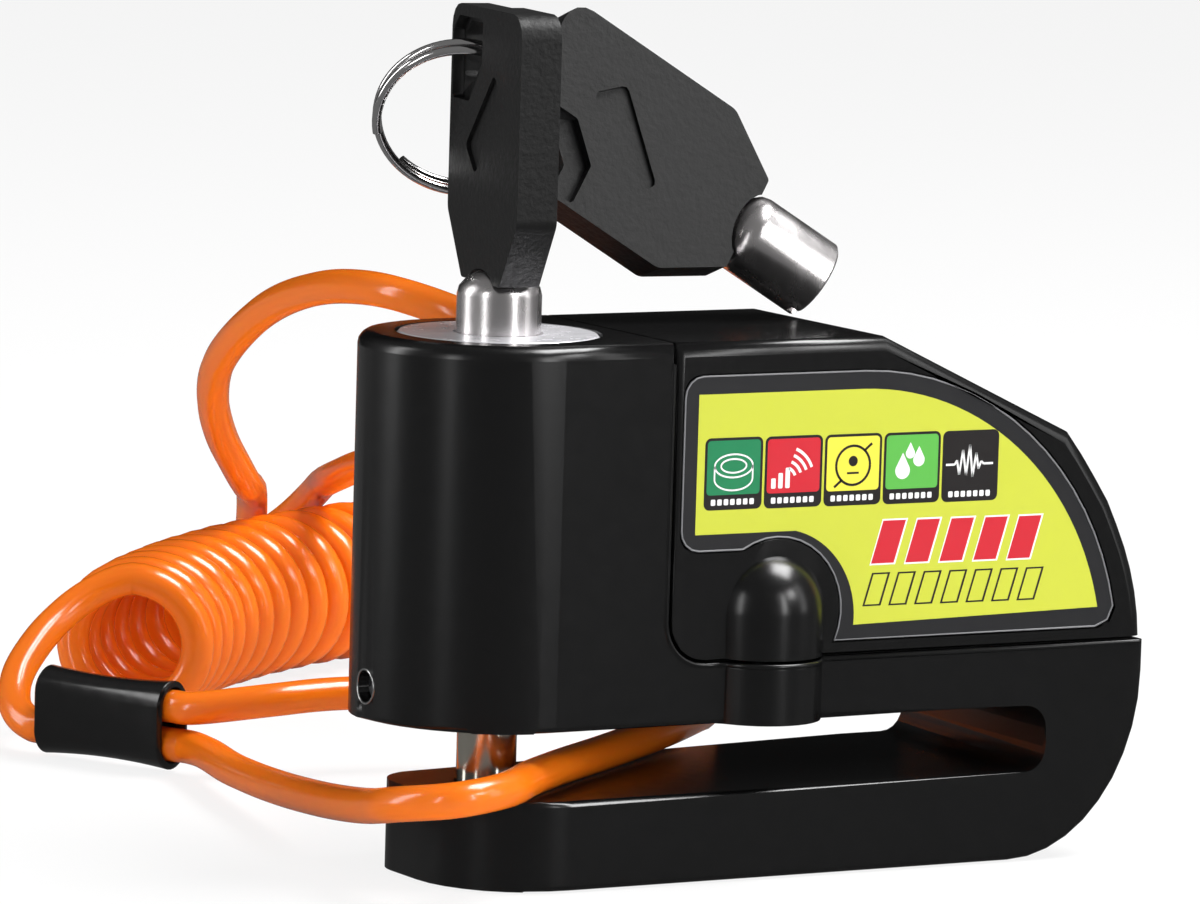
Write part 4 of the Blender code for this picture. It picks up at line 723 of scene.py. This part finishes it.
def roundBox(x0, z0, x1, z1, radius, steps=5):
    points = arc((x1 - radius, z1 - radius), radius, 90, 0, steps)
    points += arc((x1 - radius, z0 + radius), radius, 0, -90, steps)
    points += arc((x0 + radius, z0 + radius), radius, 270, 180, steps)
    points += arc((x0 + radius, z1 - radius), radius, 180, 90, steps)
    return points


def strip(line, width):
    # A flat ribbon along an open line of (X, Z) points.
    one = []
    two = []
    for k, (x, z) in enumerate(line):
        before = line[max(k - 1, 0)]
        after = line[min(k + 1, len(line) - 1)]
        along = Vector((after[0] - before[0], after[1] - before[1])).normalized()
        side = Vector((-along.y, along.x)) * width / 2
        one.append((x + side.x, z + side.y))
        two.append((x - side.x, z - side.y))
    return one + two[::-1]


def disc(centre, radius, steps):
    found = []
    for k in range(steps):
        a = -2 * math.pi * k / steps
        found.append((centre[0] + radius * math.cos(a), centre[1] + radius * math.sin(a)))
    return found


def bandHalves(centre, across, up, width, start=0, end=360):
    # A curved band in two pieces, so that each outline stays simple.
    steps = 16
    middle = (start + end) / 2
    found = []
    for low, high in ((start, middle), (middle, end)):
        line = []
        for k in range(steps + 1):
            a = math.radians(low + (high - low) * k / steps)
            line.append((centre[0] + across * math.cos(a), centre[1] + up * math.sin(a)))
        found.append(strip(line, width))
    return found


def labelHighlightLine():
    # Painted highlight: a thin light-grey line along the plate's front edge, standing in for light caught by
    # the edge.
    work = bmesh.new()
    work.from_mesh(nodes["front_label"].data)
    wholeFaces(work, edgeRules["weld"])
    facing = [face for face in work.faces if face.normal.y < -0.9]
    front = max(facing, key=lambda face: face.calc_area())
    line = [vert.co.copy() for vert in front.verts]
    work.free()
    linked("labelHighlightLine", tubeMesh("labelHighlightLine", line, label["highlightWire"], 2, True), "labelHighlightGrey")


labelHighlightLine()
printed("labelField", [fieldOutline()], 2, "labelYellow")

tiles = {
    "firstX": 18.7,
    "pitch": 8.06,
    "width": 7.75,
    "height": 8.4,
    "baseZ": 43.5,
    "drop": 0.06,
    "frame": 0.32,
    "strip": 1.75,
    "corner": 0.75,
    "faceCorner": 0.45,
    "colours": ["tileGreen", "tileRed", "tileYellow", "tileLeaf", "tileBlack"],
}


def tileCorner(k):
    return tiles["firstX"] + k * tiles["pitch"], tiles["baseZ"] - k * tiles["drop"]


def tileBases():
    outlines = []
    for k in range(len(tiles["colours"])):
        x, z = tileCorner(k)
        outlines.append(roundBox(x, z, x + tiles["width"], z + tiles["height"], tiles["corner"]))
    printed("tileFrames", outlines, 3, "tileBlack")
    for k, look in enumerate(tiles["colours"]):
        x, z = tileCorner(k)
        edge = tiles["frame"]
        right = x + tiles["width"] - edge
        top = z + tiles["height"] - edge
        inner = roundBox(x + edge, z + tiles["strip"], right, top, tiles["faceCorner"])
        printed(f"tileFace{k + 1}", [inner], 4, look)


motifs = {
    "ringZ": 5.1,
    "ringOuter": (2.55, 1.35),
    "ringInner": (1.7, 0.8),
    "ringDepth": 1.5,
    "ringLine": 0.2,
    "waveCentre": (2.7, 3.2),
    "waveReaches": (1.5, 2.3, 3.1, 3.9),
    "waveLine": 0.36,
    "waveSpan": (22, 68),
    "stepLeft": 0.9,
    "stepRight": 1.5,
    "stepPitch": 0.95,
    "stepZ": 2.3,
    "stepHeights": (1.2, 1.8, 2.4),
    "stepCorner": 0.12,
    "dialZ": 4.7,
    "dialRadius": 2.3,
    "dialLine": 0.3,
    "dialTick": ((1.5, 1.7), (2.5, 2.5)),
    "dialBar": (0.8, -0.9),
    "dialBarLine": 0.24,
    "dialDotZ": 0.5,
    "dialDot": 0.62,
    "drops": ((2.6, 3.9, 1.0), (3.6, 5.9, 0.62), (4.8, 5.1, 0.78)),
    "dropTip": 2.1,
    "beatZ": 4.4,
    "beatLine": 0.26,
    "beat": [
        (0.5, 0), (1.7, 0), (2.0, 0.5), (2.35, -1.2), (2.8, 1.7), (3.3, -1.3), (3.75, 2.3), (4.2, -1.5),
        (4.65, 1.3), (5.0, -0.6), (5.35, 0.3), (5.7, 0), (7.0, 0),
    ],
}


def ringMotif(k):
    left, z = tileCorner(k)
    x = left + tiles["width"] / 2
    high = z + motifs["ringZ"]
    low = high - motifs["ringDepth"]
    line = motifs["ringLine"]
    across = motifs["ringOuter"][0]
    found = bandHalves((x, high), *motifs["ringOuter"], line)
    found += bandHalves((x, high), *motifs["ringInner"], line)
    found += bandHalves((x, low), *motifs["ringOuter"], line, 180, 360)
    found += [strip([(x - across, high), (x - across, low)], line)]
    found += [strip([(x + across, high), (x + across, low)], line)]
    return found


def waveMotif(k):
    x, z = tileCorner(k)
    centre = (x + motifs["waveCentre"][0], z + motifs["waveCentre"][1])
    found = []
    for reach in motifs["waveReaches"]:
        found += bandHalves(centre, reach, reach, motifs["waveLine"], *motifs["waveSpan"])
    low = z + motifs["stepZ"]
    for place, tall in enumerate(motifs["stepHeights"]):
        left = x + motifs["stepLeft"] + place * motifs["stepPitch"]
        right = x + motifs["stepRight"] + place * motifs["stepPitch"]
        found += [roundBox(left, low, right, low + tall, motifs["stepCorner"], 2)]
    return found


def dialMotif(k):
    left, low = tileCorner(k)
    x = left + tiles["width"] / 2
    z = low + motifs["dialZ"]
    (nearX, nearZ), (farX, farZ) = motifs["dialTick"]
    barX, barZ = motifs["dialBar"]
    found = bandHalves((x, z), motifs["dialRadius"], motifs["dialRadius"], motifs["dialLine"])
    found += [strip([(x + nearX, z + nearZ), (x + farX, z + farZ)], motifs["dialLine"])]
    found += [strip([(x - nearX, z - nearZ), (x - farX, z - farZ)], motifs["dialLine"])]
    found += [strip([(x - barX, z + barZ), (x + barX, z + barZ)], motifs["dialBarLine"])]
    found += [disc((x, z + motifs["dialDotZ"]), motifs["dialDot"], 16)]
    return found


def dropMotif(k):
    x, z = tileCorner(k)
    found = []
    for dx, dz, size in motifs["drops"]:
        drop = arc((x + dx, z + dz), size, 160, 380, 16)
        found += [[*drop, (x + dx, z + dz + size * motifs["dropTip"])]]
    return found


def beatMotif(k):
    x, low = tileCorner(k)
    z = low + motifs["beatZ"]
    beat = motifs["beat"]
    found = []
    for (ax, az), (bx, bz) in zip(beat, beat[1:]):
        found += [strip([(x + ax, z + az), (x + bx, z + bz)], motifs["beatLine"])]
    return found


def tileMotifs():
    printed("tileWhiteMotifs", ringMotif(0) + waveMotif(1) + dropMotif(3) + beatMotif(4), 5, "tileWhite")
    printed("tileDarkMotifs", dialMotif(2), 5, "tileBlack")


tileBases()
tileMotifs()


# Rows of repeated marks, made with one node tree


def rowTree():
    tree = bpy.data.node_groups.new("rowOfMarks", "GeometryNodeTree")
    tree.interface.new_socket("Geometry", in_out="INPUT", socket_type="NodeSocketGeometry")
    sockets = {}
    inputs = {"Count": "NodeSocketInt", "Step": "NodeSocketVector", "Look": "NodeSocketMaterial"}
    for name, kind in inputs.items():
        sockets[name] = tree.interface.new_socket(name, in_out="INPUT", socket_type=kind).identifier
    tree.interface.new_socket("Geometry", in_out="OUTPUT", socket_type="NodeSocketGeometry")
    source = tree.nodes.new("NodeGroupInput")
    result = tree.nodes.new("NodeGroupOutput")
    line = tree.nodes.new("GeometryNodeMeshLine")
    line.mode = "OFFSET"
    place = tree.nodes.new("GeometryNodeInstanceOnPoints")
    real = tree.nodes.new("GeometryNodeRealizeInstances")
    paint = tree.nodes.new("GeometryNodeSetMaterial")
    tree.links.new(source.outputs["Count"], line.inputs["Count"])
    tree.links.new(source.outputs["Step"], line.inputs["Offset"])
    tree.links.new(line.outputs["Mesh"], place.inputs["Points"])
    tree.links.new(source.outputs["Geometry"], place.inputs["Instance"])
    tree.links.new(place.outputs["Instances"], real.inputs["Geometry"])
    tree.links.new(real.outputs["Geometry"], paint.inputs["Geometry"])
    tree.links.new(source.outputs["Look"], paint.inputs["Material"])
    tree.links.new(paint.outputs["Geometry"], result.inputs["Geometry"])
    return tree, sockets


marksTree, marksSockets = rowTree()


def markRow(name, outlines, level, count, step, look):
    seed = bpy.data.objects.new(name + "Seed", layerMesh(outlines, level))
    bpy.context.scene.collection.objects.link(seed)
    change = seed.modifiers.new("row", "NODES")
    change.node_group = marksTree
    change[marksSockets["Count"]] = count
    change[marksSockets["Step"]] = (step[0] * mm, 0, step[1] * mm)
    change[marksSockets["Look"]] = palette[look]
    return linked(name, plainMesh(seed, name), look)


def slanted(x, z, width, height, lean):
    return [(x + lean, z + height), (x + width + lean, z + height), (x + width, z), (x, z)]


marks = {
    "redX": 41.6,
    "redZ": 36.4,
    "redWidth": 3.1,
    "redHeight": 5.0,
    "redStep": 4.7,
    "redCount": 5,
    "darkX": 40.6,
    "darkZ": 31.4,
    "darkWidth": 2.5,
    "darkHeight": 3.9,
    "darkStep": 3.55,
    "darkCount": 7,
    "lean": 1.5,
    "edgeLean": 0.1,
    "darkLean": 0.8,
    "centreLean": 0.72,
    "line": 0.2,
    "sideLines": 1.6,
    "narrowing": 2.8,
    "redDrop": -0.05,
    "darkDrop": -0.04,
    "dotStep": 0.86,
    "dotCount": 7,
    "dotBox": (0.95, 0.55, 1.55, 1.25),
    "dotCorner": 0.12,
}


def barRows():
    lean = marks["lean"]
    x, z, w, h = marks["redX"], marks["redZ"], marks["redWidth"], marks["redHeight"]
    step = (marks["redStep"], marks["redDrop"])
    line = marks["line"]
    edge = slanted(x - line, z - line, w + 2 * line, h + 2 * line, lean + marks["edgeLean"])
    markRow("redBarEdges", [edge], 3, marks["redCount"], step, "tileWhite")
    markRow("redBars", [slanted(x, z, w, h, lean)], 4, marks["redCount"], step, "tileRed")
    x, z, w, h = marks["darkX"], marks["darkZ"], marks["darkWidth"], marks["darkHeight"]
    step = (marks["darkStep"], marks["darkDrop"])
    outer = slanted(x, z, w, h, lean * marks["darkLean"])
    markRow("darkBars", [outer], 3, marks["darkCount"], step, "tileBlack")
    left = x + marks["sideLines"] * line
    across = w - marks["narrowing"] * line
    inner = slanted(left, z + line, across, h - 2 * line, lean * marks["centreLean"])
    markRow("darkBarCentres", [inner], 4, marks["darkCount"], step, "labelYellow")


def captionDots():
    left, low, right, high = marks["dotBox"]
    for k in range(len(tiles["colours"])):
        x, z = tileCorner(k)
        dot = roundBox(x + left, z + low, x + right, z + high, marks["dotCorner"], 2)
        markRow(f"captionDots{k + 1}", [dot], 4, marks["dotCount"], (marks["dotStep"], 0), "tileWhite")


barRows()
captionDots()
print("label done")


# Smooth dome over the cover's screw boss

dome = {
    "x": 28.8 * mm,
    "y": -12.85 * mm,
    "z": 31.2 * mm,
    "radius": 7.42 * mm,
    "foot": 26.1 * mm,
    "backY": -15.8 * mm,
    "sides": 96,
    "steps": 24,
    "sharp": math.radians(40),
}


def bossDome():
    # A round post with a domed top, cut flat inside the cover's wall.
    work = bmesh.new()
    sides = dome["sides"]
    profile = [(dome["radius"], dome["foot"])]
    profile += arc((0, dome["z"]), dome["radius"], 0, 90, dome["steps"])[:-1]
    rings = []
    for radius, z in profile:
        circle = arc((dome["x"], dome["y"]), radius, 0, 360, sides)[:-1]
        rings.append([work.verts.new((x, y, z)) for x, y in circle])
    for one, two in zip(rings, rings[1:]):
        for k in range(sides):
            work.faces.new((one[k], one[(k + 1) % sides], two[(k + 1) % sides], two[k]))
    work.faces.new(rings[0])
    tip = work.verts.new((dome["x"], dome["y"], dome["z"] + dome["radius"]))
    for k in range(sides):
        work.faces.new((rings[-1][k], rings[-1][(k + 1) % sides], tip))
    everything = [*work.verts, *work.edges, *work.faces]
    back = (0, dome["backY"], 0)
    cut = bmesh.ops.bisect_plane(work, geom=everything, plane_co=back, plane_no=(0, 1, 0), clear_outer=True)
    brim = [part for part in cut["geom_cut"] if isinstance(part, bmesh.types.BMEdge)]
    bmesh.ops.holes_fill(work, edges=brim)
    bmesh.ops.recalc_face_normals(work, faces=work.faces)
    print("boss dome open edges", sum(not edge.is_manifold for edge in work.edges))
    mesh = bpy.data.meshes.new("bossDome")
    work.to_mesh(mesh)
    work.free()
    mesh.shade_smooth()
    mesh.set_sharp_from_angle(angle=dome["sharp"])
    linked("bossDome", mesh, "coverPlastic")


bossDome()
print("dome done")


# Rounded bead along the casting's edge at the joint with the cover

bead = {
    "radius": 0.34 * mm,
    "inset": 0.28 * mm,
    "faceY": -16.1 * mm,
    "towerX": 14.5 * mm,
    "deckZ": 25.7 * mm,
    "corner": 5.0 * mm,
    "cornerSteps": 12,
    "bossSteps": 24,
    "topZ": 60.6 * mm,
    "endX": 79.4 * mm,
    "bossRadius": 7.3 * mm,
}


def seamBead():
    turn = (bead["towerX"] + bead["corner"], bead["deckZ"] + bead["corner"])
    low = bead["deckZ"] - bead["inset"]
    line = [(bead["towerX"] - bead["inset"], bead["faceY"], bead["topZ"])]
    bend = arc(turn, bead["corner"] + bead["inset"], 180, 270, bead["cornerSteps"])
    line += [(x, bead["faceY"], z) for x, z in bend]
    side = math.degrees(math.asin((bead["faceY"] - dome["y"]) / bead["bossRadius"]))
    middle = (dome["x"], dome["y"])
    aroundBoss = arc(middle, bead["bossRadius"], 180 - side, 360 + side, bead["bossSteps"])
    line += [(x, y, low) for x, y in aroundBoss]
    line += [(bead["endX"], bead["faceY"], low)]
    linked("seamBead", tubeMesh("seamBead", line, bead["radius"], 4), "blackPaint")


seamBead()
print("bead done")


# Painted highlight: a light steel ring round the set screw's hole, standing in for light caught by the hole's
# edge

rim = {
    "z": 22.4 * mm,
    "radius": 2.0 * mm,
    "wire": 0.14 * mm,
    "bodyRadius": 16.25 * mm,
    "sunk": 0.02 * mm,
    "points": 40,
}


# Painted highlight ring laid on the hole's edge.
def holeHighlightRing():
    line = []
    for k in range(rim["points"]):
        a = 2 * math.pi * k / rim["points"]
        y = rim["radius"] * math.cos(a)
        x = -math.sqrt(rim["bodyRadius"] ** 2 - y * y)
        line.append((x + rim["sunk"], y, rim["z"] + rim["radius"] * math.sin(a)))
    linked("holeHighlightRing", tubeMesh("holeHighlightRing", line, rim["wire"], 2, True), "holeHighlightSteel")


holeHighlightRing()
print("rim done")


# Camera

camera = {
    "place": (-453.48, -818.59, 165.81),
    "right": (0.86982, -0.49247, 0.02978),
    "up": (0.03514, 0.12205, 0.99190),
    "back": (-0.49211, -0.86173, 0.12347),
    "lens": 244.5,
    "sensor": 36,
    "nearest": 0.05,
    "farthest": 20,
}


def makeCamera():
    data = bpy.data.cameras.new("camera")
    data.lens = camera["lens"]
    data.sensor_width = camera["sensor"]
    data.sensor_fit = "HORIZONTAL"
    data.clip_start = camera["nearest"]
    data.clip_end = camera["farthest"]
    obj = bpy.data.objects.new("camera", data)
    bpy.context.scene.collection.objects.link(obj)
    turn = Matrix((camera["right"], camera["up"], camera["back"])).transposed()
    obj.matrix_world = Matrix.Translation(Vector(camera["place"]) * mm) @ turn.to_4x4()
    bpy.context.scene.camera = obj


makeCamera()


# Floor, light and background

studio = {
    "floorHalf": 4.0,
    "floorZ": -0.0002,
    "floorColour": (0.9, 0.9, 0.9),
    "floorWhite": 0.85,
    "glossyFloor": 0.15,
    "skyLevel": 0.3,
    "glossySky": 0.16,
    "glossyRear": 0.01,
    "rear": (0.49, 0.86, 0.12),
    "fadeFrom": 0.45,
    "fadeTo": 0.85,
}


def makeFloor():
    # Nearly white to the camera with a faint shadow, dim in reflections, plain white to everything else.
    made, tree, shader = newMaterial("floorWhite")
    shader.inputs["Base Color"].default_value = (*studio["floorColour"], 1)
    shader.inputs["Roughness"].default_value = 0.9
    shader.inputs["Specular IOR Level"].default_value = 0.0
    path = tree.nodes.new("ShaderNodeLightPath")
    last = shader.outputs["BSDF"]
    rays = {"Is Glossy Ray": (studio["glossyFloor"], 1.0), "Is Camera Ray": (1.0, studio["floorWhite"])}
    for ray, (level, share) in rays.items():
        glow = tree.nodes.new("ShaderNodeEmission")
        glow.inputs["Color"].default_value = (1, 1, 1, 1)
        glow.inputs["Strength"].default_value = level
        mix = tree.nodes.new("ShaderNodeMixShader")
        tree.links.new(ramp(tree, path.outputs[ray], 0, 1, 0, share), mix.inputs["Fac"])
        tree.links.new(last, mix.inputs[1])
        tree.links.new(glow.outputs["Emission"], mix.inputs[2])
        last = mix.outputs["Shader"]
    tree.links.new(last, tree.nodes["Material Output"].inputs["Surface"])
    half = studio["floorHalf"]
    mesh = bpy.data.meshes.new("floor")
    corners = [(-half, -half, 0), (half, -half, 0), (half, half, 0), (-half, half, 0)]
    mesh.from_pydata(corners, [], [(0, 1, 2, 3)])
    mesh.materials.append(made)
    obj = bpy.data.objects.new("floor", mesh)
    bpy.context.scene.collection.objects.link(obj)
    obj.location.z = studio["floorZ"]


def makeWorld():
    world = bpy.data.worlds.new("studio")
    world.use_nodes = True
    tree = world.node_tree
    back = tree.nodes["Background"]
    path = tree.nodes.new("ShaderNodeLightPath")
    seen = tree.nodes.new("ShaderNodeMapRange")
    seen.inputs["To Min"].default_value = studio["skyLevel"]
    seen.inputs["To Max"].default_value = 1.0
    tree.links.new(path.outputs["Is Camera Ray"], seen.inputs["Value"])
    # Reflections fade to dark toward the rear, so that level tops stay black.
    coords = tree.nodes.new("ShaderNodeTexCoord")
    toward = tree.nodes.new("ShaderNodeVectorMath")
    toward.operation = "DOT_PRODUCT"
    toward.inputs[1].default_value = studio["rear"]
    tree.links.new(coords.outputs["Generated"], toward.inputs[0])
    away = toward.outputs["Value"]
    levels = (studio["glossySky"], studio["glossyRear"])
    fade = ramp(tree, away, studio["fadeFrom"], studio["fadeTo"], *levels)
    shine = tree.nodes.new("ShaderNodeMix")
    tree.links.new(fade, shine.inputs["B"])
    tree.links.new(path.outputs["Is Glossy Ray"], shine.inputs["Factor"])
    tree.links.new(seen.outputs["Result"], shine.inputs["A"])
    back.inputs["Color"].default_value = (1, 1, 1, 1)
    tree.links.new(shine.outputs["Result"], back.inputs["Strength"])
    bpy.context.scene.world = world


lamps = {
    "topBox": {"place": (0.42, -0.12, 0.85), "target": (0.02, 0.04, 0.03), "size": (0.5, 0.4), "watts": 11},
    "keyBox": {"place": (0.52, -0.76, 0.5), "target": (0, 0, 0.04), "size": (0.26, 0.22), "watts": 1.7},
    "rightStrip": {"place": (0.7, -0.5, 0.25), "target": (0, 0, 0.04), "size": (0.2, 0.7), "watts": 0.8},
    "frontStrip": {"place": (0.25, -0.92, 0.22), "target": (0, 0, 0.04), "size": (0.1, 0.7), "watts": 2.2},
    "sideStrip": {"place": (-0.88, -0.37, 0.22), "target": (0, 0, 0.04), "size": (0.1, 0.7), "watts": 1.6},
    "leftStrip": {"place": (-0.75, 0.48, 0.25), "target": (0, 0, 0.04), "size": (0.2, 0.9), "watts": 3},
}


def softBox(name, box):
    data = bpy.data.lights.new(name, "AREA")
    data.shape = "RECTANGLE"
    data.size, data.size_y = box["size"]
    data.energy = box["watts"]
    obj = bpy.data.objects.new(name, data)
    bpy.context.scene.collection.objects.link(obj)
    obj.location = box["place"]
    away = Vector(box["target"]) - Vector(box["place"])
    obj.rotation_euler = away.to_track_quat("-Z", "Y").to_euler()


makeFloor()
makeWorld()
for boxName, box in lamps.items():
    softBox(boxName, box)
bpy.context.scene.view_settings.view_transform = "Standard"
print("studio done")
